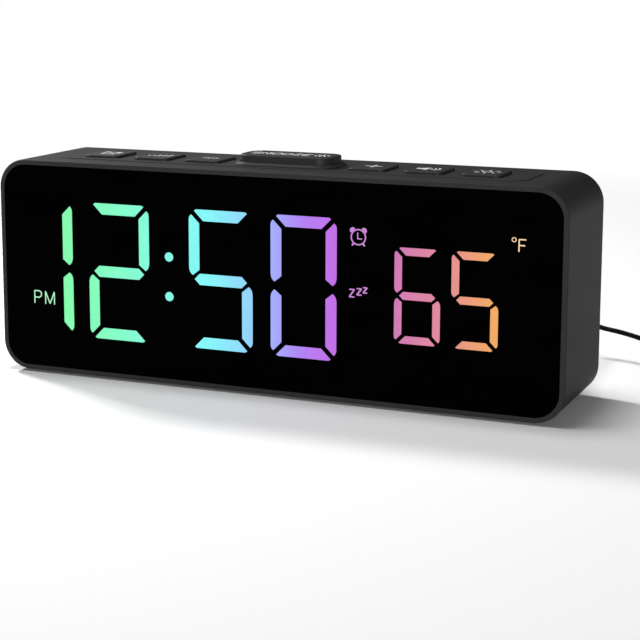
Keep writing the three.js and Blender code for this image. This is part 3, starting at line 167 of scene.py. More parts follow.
RING_WALL = 1.2
BOSS_REAR = COVER_REAR - 0.5
INLET_X = 62
INLET_Z = 18.7
INLET_HOLE = 4.1
CHEEK_SPREAD = 9.8
CHEEK_DEPTH = 7.5
PLUG_SEAT = COVER_REAR - 0.5
GRIP_DIAMETER = 6.4
GRIP_LENGTH = 14
RIB_COUNT = 6
RIB_PITCH = 1.2

# Lead and the reliefs at both its ends
CORD_DIAMETER = 1.65
CORD_RADIUS = CORD_DIAMETER / 2
CORD_LIFT = 0.45
RELIEF_LENGTH = 8
RELIEF_ROOT = CORD_RADIUS + 1
RELIEF_TIP = CORD_RADIUS + 0.35
RELIEF_END = PLUG_SEAT + GRIP_LENGTH + RELIEF_LENGTH
COIL_LAYERS = 4
LOOPS_PER_LAYER = 4
LOOP_STEPS = 24
COIL_PITCH = CORD_DIAMETER + 0.46
COIL_OUTER = 7.65 + COIL_PITCH * LOOPS_PER_LAYER / 2
COIL_X = INLET_X + 83.7
COIL_Y = RELIEF_END - COIL_OUTER
COIL_BASE = CORD_LIFT + CORD_RADIUS
COIL_TOP = COIL_BASE + COIL_PITCH * (COIL_LAYERS - 1)

# Far plug
USB_X = COIL_X + 18.9
USB_Z = 4.05
USB_WIDTH = 15.6
USB_HEIGHT = 8
USB_CORNER = 1.8
USB_EDGE = 0.8
USB_LENGTH = 19
USB_REAR = COIL_Y - 5
USB_FRONT = USB_REAR - USB_LENGTH
SHELL_WIDTH = 12
SHELL_HEIGHT = 4.5
SHELL_CORNER = 0.6
SHELL_WALL = 0.35
SHELL_REAR = USB_FRONT - FIT
SHELL_FRONT = SHELL_REAR - 11.8
TONGUE_WIDTH = 10.7
TONGUE_HEIGHT = 1.8

# Studio: the floor's half side, then values in Blender's own units. What gloss sees of the
# world goes from one strength to another between two parts of a direction; the floor fades
# out between two distances.
FLOOR_REACH = 3000
AMBIENT = 0.09
CEILING = (1.0, 0.03, -0.1, 0.1)
SIDE_WALL = (1.0, 0.03, -0.62, -0.36)
FLOOR_FADE = (0.24, 0.6)
SCATTERED_FLOOR = 0.7


# Meshes
def millimetres(x, y, z):
    return Vector((x, y, z)) * MM


def add_object(name, data):
    obj = bpy.data.objects.new(name, data)
    bpy.context.scene.collection.objects.link(obj)
    return obj


def add_mesh(name, vertices, faces, material):
    mesh = bpy.data.meshes.new(name)
    mesh.from_pydata([millimetres(*v) for v in vertices], [], faces)
    mesh.validate()
    mesh.materials.append(material)
    return add_object(name, mesh)


def soften(obj, angle=35):
    """Smooth shading that keeps the edges sharper than the angle and lets large faces lie flat."""
    mesh = obj.data
    mesh.polygons.foreach_set("use_smooth", [True] * len(mesh.polygons))
    mesh.set_sharp_from_angle(angle=math.radians(angle))
    normals = obj.modifiers.new("even_normals", "WEIGHTED_NORMAL")
    normals.keep_sharp = True
    return obj


def arc(x, y, radius, start, end, steps):
    """Points along an arc, angles in degrees, both ends included."""
    points = []
    for i in range(steps + 1):
        angle = math.radians(start + (end - start) * i / steps)
        points.append((x + radius * math.cos(angle), y + radius * math.sin(angle)))
    return points


def rounded_rect(width, height, radius, x=0, y=0, steps=10):
    """Outline of a rectangle with round corners, anticlockwise."""
    u = width / 2 - radius
    v = height / 2 - radius
    points = []
    for k, (cu, cv) in enumerate([(u, v), (-u, v), (-u, -v), (u, -v)]):
        points += arc(x + cu, y + cv, radius, 90 * k, 90 * k + 90, steps)
    return points


def circle(diameter, x=0, y=0, steps=32):
    return arc(x, y, diameter / 2, 0, 360, steps)[:-1]


def fillet(inset, height, radius, steps=4):
    """Profile points of a rounded edge, from the side over onto the end."""
    return arc(inset + radius, height - radius, radius, 180, 90, steps)


def front_fillet(inset, front, radius):
    """The same at an end that faces the front, from the end onto the side."""
    return arc(inset + radius, front + radius, radius, 270, 180, 4)


def four_corners(x, y):
    """The corners of a rectangle about the origin, with their numbers from 1."""
    return enumerate([(sx * x, sy * y) for sx in (-1, 1) for sy in (-1, 1)], 1)


def rings_mesh(name, rings, material, closed=False):
    """A skin over rings of as many points each, capped at both ends or closed on itself."""
    count = len(rings[0])
    vertices = [p for ring in rings for p in ring]
    faces = []
    pairs = list(zip(range(len(rings)), range(1, len(rings))))
    if closed:
        pairs.append((len(rings) - 1, 0))
    for a, b in pairs:
        for i in range(count):
            j = (i + 1) % count
            faces.append((a * count + i, a * count + j, b * count + j, b * count + i))
    if not closed:
        faces.append(tuple(reversed(range(count))))
        faces.append(tuple(range((len(rings) - 1) * count, len(rings) * count)))
    return add_mesh(name, vertices, faces, material)


def upright(name, outline, profile, material):
    """A body whose outline, drawn from above, is offset inwards as the profile climbs."""
    rings = [[(x, y, z) for x, y in outline(inset)] for inset, z in profile]
    return rings_mesh(name, rings, material)


def facing(name, outline, profile, material, closed=False):
    """A body whose outline, drawn from the front, is offset inwards along the profile's y."""
    rings = [[(x, y, z) for x, z in reversed(outline(inset))] for inset, y in profile]
    return rings_mesh(name, rings, material, closed)


def rect_outline(width, height, radius, x=0, y=0, steps=10):
    """Outline of a rounded rectangle as a function of how far it is offset inwards."""
    return lambda inset: rounded_rect(
        width - 2 * inset, height - 2 * inset, max(radius - inset, 0.02), x, y, steps
    )


def round_outline(diameter, x, y, steps=32):
    return lambda inset: circle(diameter - 2 * inset, x, y, steps)


def turned(name, profile, x, z, material, steps=32):
    """A turned body about a line along Y; profile points are (radius, y)."""
    rings = [[(x + r * u, y, z - r * v) for u, v in circle(2, steps=steps)] for r, y in profile]
    return rings_mesh(name, rings, material)


def outline_prism(name, outlines, front, rear, material):
    """Flat shapes seen from the front, each pushed back from front to rear, as one object."""
    vertices = []
    faces = []
    for points in outlines:
        start = len(vertices)
        count = len(points)
        vertices += [(x, front, z) for x, z in points] + [(x, rear, z) for x, z in points]
        faces.append(tuple(range(start, start + count)))
        faces.append(tuple(reversed(range(start + count, start + 2 * count))))
        for i in range(count):
            j = (i + 1) % count
            faces.append((start + i, start + count + i, start + count + j, start + j))
    return add_mesh(name, vertices, faces, material)


def boolean(obj, tools, operation="DIFFERENCE"):
    """Cuts the tools out of the object, or joins them to it, and removes them."""
    for tool in tools:
        modifier = obj.modifiers.new("boolean", "BOOLEAN")
        modifier.operation = operation
        modifier.solver = "EXACT"
        modifier.object = tool
    graph = bpy.context.evaluated_depsgraph_get()
    result = bpy.data.meshes.new_from_object(obj.evaluated_get(graph))
    obj.modifiers.clear()
    obj.data = result
    for tool in tools:
        bpy.data.objects.remove(tool)
    return obj


def place(obj, slot, *replaced, body="housing"):
    """Rides the piece on its body and hides the solids that it stands for; the slot is not used."""
    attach(obj, body)
    if replaced:
        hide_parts(*replaced)
    return obj


# Camera, at the photograph's angle
def make_camera():
    data = bpy.data.cameras.new("camera")
    focal_pixels = 1722.3
    image_side = 640
    data.sensor_width = 36
    data.lens = focal_pixels / image_side * data.sensor_width
    data.shift_x = 0.0518
    data.shift_y = -0.0929
    camera = add_object("camera", data)
    position = millimetres(214.73, -496.13, 133.67)
    target = millimetres(7.466, -21, 43.541)
    look = (target - position).to_track_quat("-Z", "Y").to_matrix().to_4x4()
    camera.matrix_world = Matrix.Translation(position) @ look
    bpy.context.scene.camera = camera


# Materials
class Nodes:
    """Shorthand for the nodes of a material, or of the world, around its shader."""

    def __init__(self, owner, shader="Principled BSDF", coordinates="Object"):
        owner.use_nodes = True
        self.owner = owner
        self.tree = owner.node_tree
        self.shader = self.tree.nodes[shader]
        self.position = self.add("ShaderNodeTexCoord").outputs[coordinates]

    def set(self, socket, value):
        if isinstance(value, bpy.types.NodeSocket):
            self.tree.links.new(value, socket)
        else:
            socket.default_value = value

    def fill(self, node, **inputs):
        """Sets inputs by name, each to a value or to another node's output."""
        for key, value in inputs.items():
            self.set(node.inputs[key.replace("_", " ")], value)
        return node

    def add(self, kind, **inputs):
        return self.fill(self.tree.nodes.new(kind), **inputs)

    def look(self, **inputs):
        self.fill(self.shader, **inputs)

    def math(self, operation, a, b):
        node = self.add("ShaderNodeMath")
        node.operation = operation
        self.set(node.inputs[0], a)
        self.set(node.inputs[1], b)
        return node.outputs["Value"]

    def noise(self, per_metre, detail=3, position=None):
        node = self.add("ShaderNodeTexNoise", Scale=per_metre, Detail=detail)
        self.set(node.inputs["Vector"], position or self.position)
        return node.outputs["Fac"]

    def stretched(self, scale):
        mapping = self.add("ShaderNodeMapping", Vector=self.position)
        mapping.inputs["Scale"].default_value = scale
        return mapping.outputs["Vector"]

    def span(self, value, low, high, source_low=0.3, source_high=0.7):
        ends = {"From_Min": source_low, "From_Max": source_high, "To_Min": low, "To_Max": high}
        return self.add("ShaderNodeMapRange", Value=value, **ends).outputs["Result"]

    def ramp(self, value, stops):
        node = self.add("ShaderNodeValToRGB", Fac=value)
        elements = node.color_ramp.elements
        while len(elements) < len(stops):
            elements.new(0.5)
        for element, (position, colour) in zip(elements, stops):
            element.position = position
            element.color = (*colour, 1)
        return node.outputs["Color"]

    def blend(self, value, a, b, low=0.3, high=0.7):
        return self.ramp(value, [(low, a), (high, b)])

    def bump(self, height, depth):
        """Bump from a height, with its depth in millimetres."""
        node = self.add("ShaderNodeBump", Height=height, Distance=depth * MM)
        self.look(Normal=node.outputs["Normal"])


def new_material(name):
    return Nodes(bpy.data.materials.new(name))


def srgb(code):
    """Linear colour of a web colour such as 80ffa8."""
    values = []
    for k in (0, 2, 4):
        c = int(code[k:k + 2], 16) / 255
        values.append(c / 12.92 if c <= 0.04045 else ((c + 0.055) / 1.055) ** 2.4)
    return tuple(values)


def mixed(a, b, share):
    return tuple(p * (1 - share) + q * share for p, q in zip(a, b))


def grey(level):
    return (level, level, level)


BLACK = grey(0)
WHITE = grey(1)


def textured_plastic(name, code, roughness, grain, depth, specular=0.5):
    """Moulded plastic with a spark-eroded grain and slight mottling."""
    n = new_material(name)
    base = srgb(code)
    mottle = n.noise(60, 2)
    fine = n.noise(grain, 2)
    n.look(
        Base_Color=n.blend(mottle, mixed(base, BLACK, 0.04), mixed(base, WHITE, 0.002)),
        Roughness=n.span(fine, roughness - 0.05, roughness + 0.06),
        Specular_IOR_Level=specular,
    )
    n.bump(fine, depth)
    return n.owner


def smoked_lens():
    """Polished black plastic with the faintest smears."""
    n = new_material("smoked_lens")
    smear = n.noise(45, 5, n.stretched((1, 1, 2.2)))
    n.look(
        Base_Color=n.blend(smear, (0.0002, 0.0002, 0.0003), (0.0005, 0.0005, 0.0006), 0.35, 0.65),
        Roughness=n.span(smear, 0.05, 0.1),
        Specular_IOR_Level=0.004,
    )
    return n.owner


# Colours of the display along x
DISPLAY_STOPS = [
    (-72, "82feac"), (-50, "82fecb"), (-33, "82fce8"), (-20, "82fafc"), (-6, "90d8fe"),
    (4, "a4a6fe"), (13, "b27df6"), (23, "c369e9"), (43, "d276b6"), (56, "e2869a"),
    (67, "ed9c70"), (75, "f4ac58"), (81, "fbc862"),
]


def display_light(name, whiten):
    """Lit film whose colour runs from green on the left to orange on the right."""
    n = new_material(name)
    across = n.add("ShaderNodeSeparateXYZ", Vector=n.position).outputs["X"]
    half = CASE_WIDTH / 2
    along = n.span(across, 0, 1, -half * MM, half * MM)
    stops = [
        ((x + half) / CASE_WIDTH, mixed(srgb(code), WHITE, whiten)) for x, code in DISPLAY_STOPS
    ]
    n.look(
        Base_Color=(*BLACK, 1),
        Roughness=0.4,
        Specular_IOR_Level=0.1,
        Emission_Color=n.ramp(along, stops),
        Emission_Strength=n.span(n.noise(140, 2), 0.95, 1.0),
    )
    return n.owner


def printed_white():
    """White ink, slightly uneven."""
    n = new_material("key_print")
    uneven = n.noise(2600, 2)
    n.look(Base_Color=n.blend(uneven, grey(0.72), grey(0.86)), Roughness=n.span(uneven, 0.25, 0.4))
    n.bump(uneven, 0.004)
    return n.owner


def rubber(name, code, roughness, grain, specular=0.3, dusty=0.03):
    n = new_material(name)
    base = srgb(code)
    dust = n.noise(grain, 4)
    n.look(
        Base_Color=n.blend(dust, base, mixed(base, WHITE, dusty), 0.3, 0.75),
        Roughness=n.span(dust, roughness - 0.08, roughness + 0.08),
        Specular_IOR_Level=specular,
    )
    n.bump(dust, 0.012)
    return n.owner


def plated(name, code, roughness, stretch):
    """Plated or brushed metal, whose grain the stretch draws out into lines."""
    n = new_material(name)
    base = srgb(code)
    lines = n.noise(600, 3, n.stretched(stretch))
    n.look(
        Base_Color=n.blend(lines, mixed(base, BLACK, 0.12), base),
        Roughness=n.span(lines, roughness, roughness + 0.12),
        Metallic=1,
    )
    n.bump(lines, 0.0006)
    return n.owner


def circuit_board():
    """Green lacquer over faint copper runs."""
    n = new_material("circuit_board")
    cells = n.add("ShaderNodeTexVoronoi", Scale=420, Vector=n.position)
    cells.distance = "MANHATTAN"
    runs = cells.outputs["Distance"]
    n.look(
        Base_Color=n.blend(runs, srgb("1c5a34"), srgb("2f7a48"), 0.35, 0.5),
        Roughness=n.span(n.noise(900), 0.3, 0.45),
    )
    n.bump(runs, 0.02)
    return n.owner


def speaker_paper():
    n = new_material("speaker_paper")
    fibre = n.noise(1800, 5)
    n.look(Base_Color=n.blend(fibre, grey(0.01), grey(0.03)), Roughness=n.span(fibre, 0.7, 0.9))
    n.bump(fibre, 0.03)
    return n.owner


make_camera()

# Plastics and rubbers: colour, roughness, grains per metre, then depth of the grain in
# millimetres and specular level, or specular level and share of pale dust
CASE_PLASTIC = textured_plastic("case_plastic", "29292a", 0.58, 3200, 0.008, 0.1)
KEY_PLASTIC = textured_plastic("key_plastic", "29292a", 0.5, 3800, 0.006, 0.15)
COVER_PLASTIC = textured_plastic("cover_plastic", "282829", 0.6, 2200, 0.014, 0.1)
SWITCH_PLASTIC = textured_plastic("switch_plastic", "161616", 0.45, 2600, 0.006)
WHITE_PLASTIC = textured_plastic("white_plastic", "e8e8e3", 0.5, 2400, 0.008)
FILM = textured_plastic("milky_film", "f2f2ee", 0.35, 1500, 0.004)
AMBER = textured_plastic("amber_plastic", "c28a3a", 0.4, 2600, 0.004)
LENS = smoked_lens()
DIGIT_LIGHT = display_light("display_light", 0.02)
WORD_LIGHT = display_light("word_light", 0.32)
SIGN_LIGHT = display_light("sign_light", 0.13)
PRINT = printed_white()
RUBBER = rubber("foot_rubber", "1b1b1b", 0.8, 900)
CORD_JACKET = rubber("cord_jacket", "070707", 0.6, 500, 0.03, 0.003)
GRIP_PLASTIC = rubber("grip_plastic", "161617", 0.45, 700)
STEEL = plated("screw_steel", "b4b6b8", 0.3, (1, 1, 1))
NICKEL = plated("nickel", "d2d2cd", 0.24, (1, 8, 0.4))
BOARD = circuit_board()
PAPER = speaker_paper()


# Lead: the route's points repeat those of the solid, x and y counted from the relief's tip
LEAD_ROUTE = [
    (0, FIT, INLET_Z), (0, 3.3, INLET_Z), (0, 9.5, 18.5), (0.1, 16.5, 18), (0.5, 23.5, 17.3),
    (1.8, 29.8, 16.3), (4.6, 34.1, 14.9), (9.3, 35.15, 13.4), (15.1, 33.5, 12), (21.9, 30, 10.8),
    (28.6, 27.7, 10.3), (35.4, 25.4, 9.4), (42.5, 22.2, 8), (49.5, 18, 6.4), (56, 13.3, 4.6),
    (62.5, 8.7, 3), (68.5, 4.8, 1.9), (74, 1.9, 1.4),
]


def coil_point(t):
    """A place on the coil after t turns; it spirals in and out and climbs where it turns back."""
    layer = t / LOOPS_PER_LAYER
    folded = abs((layer + 1) % 2 - 1)
    radius = COIL_OUTER - COIL_PITCH * LOOPS_PER_LAYER * folded
    nearest = min(max(math.floor(layer + 0.5), 1), COIL_LAYERS - 1)
    s = min(max((t - nearest * LOOPS_PER_LAYER) * 2 + 0.5, 0), 1)
    climb = s * s * (3 - 2 * s)
    angle = math.pi / 2 - 2 * math.pi * t
    return Vector((
        COIL_X + radius * math.cos(angle),
        COIL_Y + radius * math.sin(angle),
        COIL_BASE + COIL_PITCH * (nearest - 1 + climb),
    ))


def smooth_path(points, step):
    """Points about a step apart on a centripetal curve through the given ones."""
    points = [Vector(p) for p in points]
    padded = [2 * points[0] - points[1], *points, 2 * points[-1] - points[-2]]
    path = []
    for a, b, c, d in zip(padded, padded[1:], padded[2:], padded[3:]):
        t1 = math.sqrt((b - a).length)
        t2 = t1 + math.sqrt((c - b).length)
        t3 = t2 + math.sqrt((d - c).length)
        count = max(2, round((c - b).length / step))
        for i in range(count):
            t = t1 + (t2 - t1) * i / count
            ab = a * ((t1 - t) / t1) + b * (t / t1)
            bc = b * ((t2 - t) / (t2 - t1)) + c * ((t - t1) / (t2 - t1))
            cd = c * ((t3 - t) / (t3 - t2)) + d * ((t - t2) / (t3 - t2))
            abc = ab * ((t2 - t) / t2) + bc * (t / t2)
            bcd = bc * ((t3 - t) / (t3 - t1)) + cd * ((t - t1) / (t3 - t1))
            path.append(abc * ((t2 - t) / (t2 - t1)) + bcd * ((t - t1) / (t2 - t1)))
    return path + [points[-1]]


def cord_path():
    """The whole lead's middle line, from the relief's tip to the far plug."""
    lead = [(INLET_X + x, RELIEF_END + y, z) for x, y, z in LEAD_ROUTE]
    turns = COIL_LAYERS * LOOPS_PER_LAYER
    coil = [coil_point(i / LOOP_STEPS) for i in range(turns * LOOP_STEPS + 1)]
    leaving = coil[-1]
    tail = [
        leaving + Vector((2 * CORD_DIAMETER, 0, 0)),
        leaving + Vector((CORD_DIAMETER + FIT + 7, -0.6, -0.4)),
        (USB_X - 3.2, leaving.y - 2.6, (COIL_TOP + USB_Z) / 2),
        (USB_X, USB_REAR + RELIEF_LENGTH + FIT + 1.5 * CORD_DIAMETER, USB_Z),
        (USB_X, USB_REAR + RELIEF_LENGTH + FIT, USB_Z),
    ]
    before = coil[0] - Vector((3 * CORD_DIAMETER, 0, 0))
    return smooth_path([*lead, before], 1) + coil + smooth_path(tail, 0.8)


def tube(name, path, radius, sides, material):
    """A tube along a path, its section kept upright."""
    rings = []
    for i, point in enumerate(path):
        along = (path[min(i + 1, len(path) - 1)] - path[max(i - 1, 0)]).normalized()
        level = Vector((0, 0, 1)).cross(along).normalized()
        up = along.cross(level)
        ring = []
        for k in range(sides):
            angle = 2 * math.pi * k / sides
            ring.append(point + level * (radius * math.cos(angle)) + up * (radius * math.sin(angle)))
        rings.append([tuple(p) for p in ring])
    return rings_mesh(name, rings, material)


def make_cord():
    path = cord_path()
    cord = soften(tube("power_lead", path, CORD_RADIUS, 12, CORD_JACKET), 50)
    place(cord, "cord_black", "cord_lead", "cord_coil", "cord_tail")
    length = sum((b - a).length for a, b in zip(path, path[1:])) * MM
    return cord, path, length


cord, path, cord_length = make_cord()


# Plugs at both ends, each with a slotted relief
def relief_slots(start, first):
    """Profile of the slots along a relief that tapers from its start."""
    profile = []
    for i in range(RIB_COUNT):
        y = start + first + i * RIB_PITCH
        rim = RELIEF_ROOT - 0.65 * (y - start) / RELIEF_LENGTH
        floor = rim - 0.25
        profile += [(rim, y), (floor, y + 0.15), (floor, y + 0.55), (rim, y + 0.7)]
    return profile


def make_power_plug():
    """Ribbed grip and relief of the plug in the inlet."""
    r = GRIP_DIAMETER / 2
    profile = [(0.02, PLUG_SEAT), (r - 0.5, PLUG_SEAT)]
    profile += arc(r - 0.5, PLUG_SEAT + 0.5, 0.5, -90, 0, 4)[1:]
    rib_start = PLUG_SEAT + 2.5
    for i in range(RIB_COUNT):
        y = rib_start + i * RIB_PITCH
        profile += [(r, y), (r - 0.3, y + 0.2), (r - 0.3, y + 0.6), (r, y + 0.8)]
    end = PLUG_SEAT + GRIP_LENGTH
    profile += [(r, end - 3.4), (r - 0.35, end - 2), (r - 0.7, end - 0.6)]
    profile += [(RELIEF_ROOT + 0.5, end - 0.1), (RELIEF_ROOT, end), *relief_slots(end, 0.5)]
    profile += [(RELIEF_TIP, RELIEF_END - 0.2), (RELIEF_TIP - 0.2, RELIEF_END), (0.02, RELIEF_END)]
    grip = soften(turned("power_plug_grip", profile, INLET_X, INLET_Z, GRIP_PLASTIC))
    place(grip, "cord_black", "dc_plug_grip")


def usb_grip():
    """Moulded grip with finger grooves."""
    outline = rect_outline(USB_WIDTH, USB_HEIGHT, USB_CORNER, USB_X, USB_Z)
    profile = front_fillet(0, USB_FRONT, USB_EDGE) + fillet(0, USB_REAR, USB_EDGE)
    grip = facing("usb_plug_grip_body", outline, profile, GRIP_PLASTIC)
    outside = rect_outline(USB_WIDTH + 2.4, USB_HEIGHT + 2, USB_CORNER, USB_X, USB_Z)
    floor = rect_outline(USB_WIDTH - 0.6, USB_HEIGHT - 0.6, USB_CORNER - 0.2, USB_X, USB_Z)
    grooves = []
    for i in range(5):
        near = USB_FRONT + 6 + i * 2
        far = near + 0.8
        rings = [
            [(x, y, z) for x, z in reversed(shape(0))]
            for shape, y in [(outside, near), (outside, far), (floor, far), (floor, near)]
        ]
        grooves.append(rings_mesh(f"groove_{i}", rings, GRIP_PLASTIC, closed=True))
    soften(boolean(grip, grooves))
    return place(grip, "cord_black", "usb_plug_grip")


def usb_relief():
    root = RELIEF_ROOT + 0.3
    end = USB_REAR + RELIEF_LENGTH
    profile = [(0.02, USB_REAR - 2), (root, USB_REAR - 2), (root, USB_REAR)]
    profile += [*relief_slots(USB_REAR, 0.6), (RELIEF_TIP, end), (0.02, end)]
    relief = soften(turned("usb_plug_relief", profile, USB_X, USB_Z, GRIP_PLASTIC))
    return place(relief, "cord_black")


def usb_tongue():
    z = USB_Z + SHELL_HEIGHT / 2 - 0.65 - TONGUE_HEIGHT / 2
    outline = rect_outline(TONGUE_WIDTH, TONGUE_HEIGHT, 0.2, USB_X, z)
    profile = [(0, USB_FRONT - 11.5), (0, USB_FRONT + 1)]
    tongue = soften(facing("usb_plug_tongue", outline, profile, FILM))
    return place(tongue, "white_plastic")


def usb_shell():
    """Folded metal shell with its two windows."""
    outline = rect_outline(SHELL_WIDTH, SHELL_HEIGHT, SHELL_CORNER, USB_X, USB_Z, 5)
    profile = [(SHELL_WALL, SHELL_REAR), (SHELL_WALL, SHELL_FRONT + 0.2), (0.3, SHELL_FRONT)]
    profile += [(0.1, SHELL_FRONT), (0, SHELL_FRONT + 0.3), (0, SHELL_REAR)]
    shell = facing("usb_plug_sleeve", outline, profile, NICKEL, closed=True)
    windows = []
    for side in (-1, 1):
        window = rounded_rect(2.4, 2.2, 0.3, USB_X + side * 2.6, SHELL_FRONT + 6.5, 3)
        rings = [[(x, y, z) for x, y in window] for z in (USB_Z + 1.2, USB_Z + 3)]
        windows.append(rings_mesh(f"window_{side}", rings, NICKEL))
    return place(soften(boolean(shell, windows)), "nickel", "usb_plug_shell")


def make_tie():
    """Strap round the coil's front."""
    near = COIL_OUTER - COIL_PITCH * (LOOPS_PER_LAYER - 0.5) - CORD_RADIUS - 2 * FIT
    far = COIL_OUTER - COIL_PITCH / 2 + CORD_RADIUS + FIT
    low = CORD_LIFT - 0.05
    high = COIL_TOP + CORD_RADIUS + FIT
    y = COIL_Y - (far + near) / 2
    z = (high + low) / 2
    outer = rect_outline(far - near + 0.7, high - low + 0.7, 1.35, y, z, 6)
    profile = [(0.1, -1.25), (0, -1.1), (0, 1.1), (0.1, 1.25), (0.35, 1.25), (0.35, -1.25)]
    rings = [[(COIL_X + x, v, w) for v, w in outer(inset)] for inset, x in profile]
    band = soften(rings_mesh("cord_strap", rings, CORD_JACKET, closed=True))
    return place(band, "cord_black", "cord_tie")


usb_pieces = [usb_grip(), usb_relief(), usb_tongue(), usb_shell()]
strap = make_tie()
make_power_plug()


# Case: one skin with rounded edges, then the raised strip and collar, then the key openings
case_outline = rect_outline(CASE_WIDTH, CASE_HEIGHT, CASE_CORNER, 0, MIDDLE, 16)


def key_outline(size, x, steps, grown=0):
    """Outline of a key of the size (width, depth, corner), grown to all sides."""
    width, depth, corner = size
    return rect_outline(width + 2 * grown, depth + 2 * grown, corner + grown, x, KEY_ROW_Y, steps)


def make_case():
    recess = LENS_INSET - 0.1
    profile = [(recess, LENS_REAR + 0.1), (recess, FRONT + 0.08), (recess - 0.08, FRONT)]
    profile += front_fillet(0, FRONT, CASE_EDGE) + fillet(0, REAR, CASE_EDGE)
    profile += [(CASE_WALL - 0.15, REAR), (CASE_WALL, REAR - 0.15), (CASE_WALL, LEDGE_REAR)]
    profile += [(LEDGE_INSET, LEDGE_REAR), (LEDGE_INSET, LENS_REAR + 0.1)]
    case = facing("case_shell", case_outline, profile, CASE_PLASTIC, closed=True)

    root = CASE_TOP - CASE_WALL / 2
    strip_profile = [(0, root), (0, STRIP_TOP - 0.2), *fillet(0, STRIP_TOP, 0.22)[1:]]
    strip_outline = rect_outline(STRIP_WIDTH, STRIP_DEPTH, STRIP_CORNER)
    strip = upright("strip", strip_outline, strip_profile, CASE_PLASTIC)

    width, depth, corner = SNOOZE_SIZE
    collar_size = (width + 2 * COLLAR_SIDE, depth + 2 * COLLAR_FRONT, corner + COLLAR_SIDE)
    step = STRIP_TOP + 0.3
    collar_profile = [(0, root), (0, step), (0.12, step + 0.12), (0.9, COLLAR_TOP - 0.06)]
    collar_profile += [(1.0, COLLAR_TOP)]
    collar = upright("collar", key_outline(collar_size, 0, 12), collar_profile, CASE_PLASTIC)
    boolean(case, [strip, collar], "UNION")

    holes = []
    for x in KEYS.values():
        hole = key_outline(KEY_SIZE, x, 6, FIT)
        edge = [(0, CASE_TOP - 3), (0, STRIP_TOP - 0.12), (-0.12, STRIP_TOP), (-0.12, CASE_TOP + 4)]
        holes.append(upright("hole", hole, edge, CASE_PLASTIC))
    hole = key_outline(SNOOZE_SIZE, 0, 12, FIT)
    straight = [(0, CASE_TOP - 3), (0, CASE_TOP + 4)]
    holes.append(upright("hole", hole, straight, CASE_PLASTIC))
    boolean(case, holes)
    place(soften(case, 30), "case_plastic", "case")


def make_lens():
    profile = front_fillet(LENS_INSET, FRONT + LENS_SINK, 0.15) + [(LENS_INSET, LENS_REAR)]
    lens = facing("front_panel", case_outline, profile, LENS)
    place(soften(lens), "smoked_lens", "front_lens")


# Display: segments drawn with curved outer corners, set into the lens
def curve_to(points, corner, end, steps=5):
    """Continues the points round a corner by a smooth bend to the end."""
    x0, z0 = points[-1]
    for i in range(1, steps + 1):
        t = i / steps
        a, b, c = (1 - t) ** 2, 2 * t * (1 - t), t * t
        x = a * x0 + b * corner[0] + c * end[0]
        points.append((x, a * z0 + b * corner[1] + c * end[1]))


def segment_shapes(extra_gap):
    """The seven segments about a large digit's middle, its bars shortened by the extra gap."""
    w = DIGIT_WIDTH / 2
    h = DIGIT_HEIGHT / 2
    bar_cut = 0.14 * STROKE
    bar_end = w - BAR_SETBACK - extra_gap
    top = [(STROKE - bar_end, h - STROKE), (bar_end - STROKE, h - STROKE)]
    top.append((bar_end - bar_cut, h - bar_cut))
    curve_to(top, (bar_end - 1.5 * bar_cut, h), (bar_end - 3 * bar_cut, h))
    top.append((3 * bar_cut - bar_end, h))
    curve_to(top, (1.5 * bar_cut - bar_end, h), (bar_cut - bar_end, h - bar_cut))

    cut = 0.24 * STROKE
    run = 0.75 * STROKE
    side = [(w - STROKE, 0.84 * STROKE), (w - 0.36 * STROKE, 0.34 * STROKE)]
    curve_to(side, (w, 0.55 * STROKE), (w, 1.1 * STROKE))
    side.append((w, h - run - 0.8))
    end = h - cut - MITRE_SETBACK
    curve_to(side, (w, end - 0.5), (w - cut, end))
    side.append((w - STROKE, h - STROKE - MITRE_SETBACK))

    reach = w - 0.53 * STROKE - extra_gap
    thick = STROKE / 2
    flat = reach - thick
    middle = [(-reach, 0), (-flat, -thick), (flat, -thick), (reach, 0), (flat, thick), (-flat, thick)]

    def mirrored(points, across, over):
        changed = [(x * across, z * over) for x, z in points]
        return changed[::-1] if across * over < 0 else changed

    return {
        "a": top,
        "b": side,
        "c": mirrored(side, 1, -1),
        "d": mirrored(top, 1, -1),
        "e": mirrored(side, -1, -1),
        "f": mirrored(side, -1, 1),
        "g": middle,
    }


SEGMENTS = {"1": "bc", "2": "abged", "5": "afgcd", "0": "abcdef", "6": "afgcde"}


def digit(figure, x, scale=1.0, extra_gap=0.0):
    shapes = segment_shapes(extra_gap)
    return [
        [(x + scale * px, MIDDLE + scale * pz) for px, pz in shapes[letter]]
        for letter in SEGMENTS[figure]
    ]


def stroke(a, b, width):
    """A straight stroke from a to b."""
    a, b = Vector(a), Vector(b)
    along = (b - a).normalized()
    side = Vector((-along.y, along.x)) * width / 2
    return [tuple(corner) for corner in (a - side, b - side, b + side, a + side)]


def ray(x, z, angle, near, far, width):
    """A stroke between two distances from x, z, at an angle in degrees."""
    return stroke(*[arc(x, z, radius, angle, angle, 1)[0] for radius in (near, far)], width)


def ring_strokes(x, z, radius, width, start=0, end=360, steps=24):
    """A ring or part of one, as joined wedges."""
    outer = arc(x, z, radius, start, end, steps)
    inner = arc(x, z, radius - width, start, end, steps)
    return [[outer[i], outer[i + 1], inner[i + 1], inner[i]] for i in range(steps)]


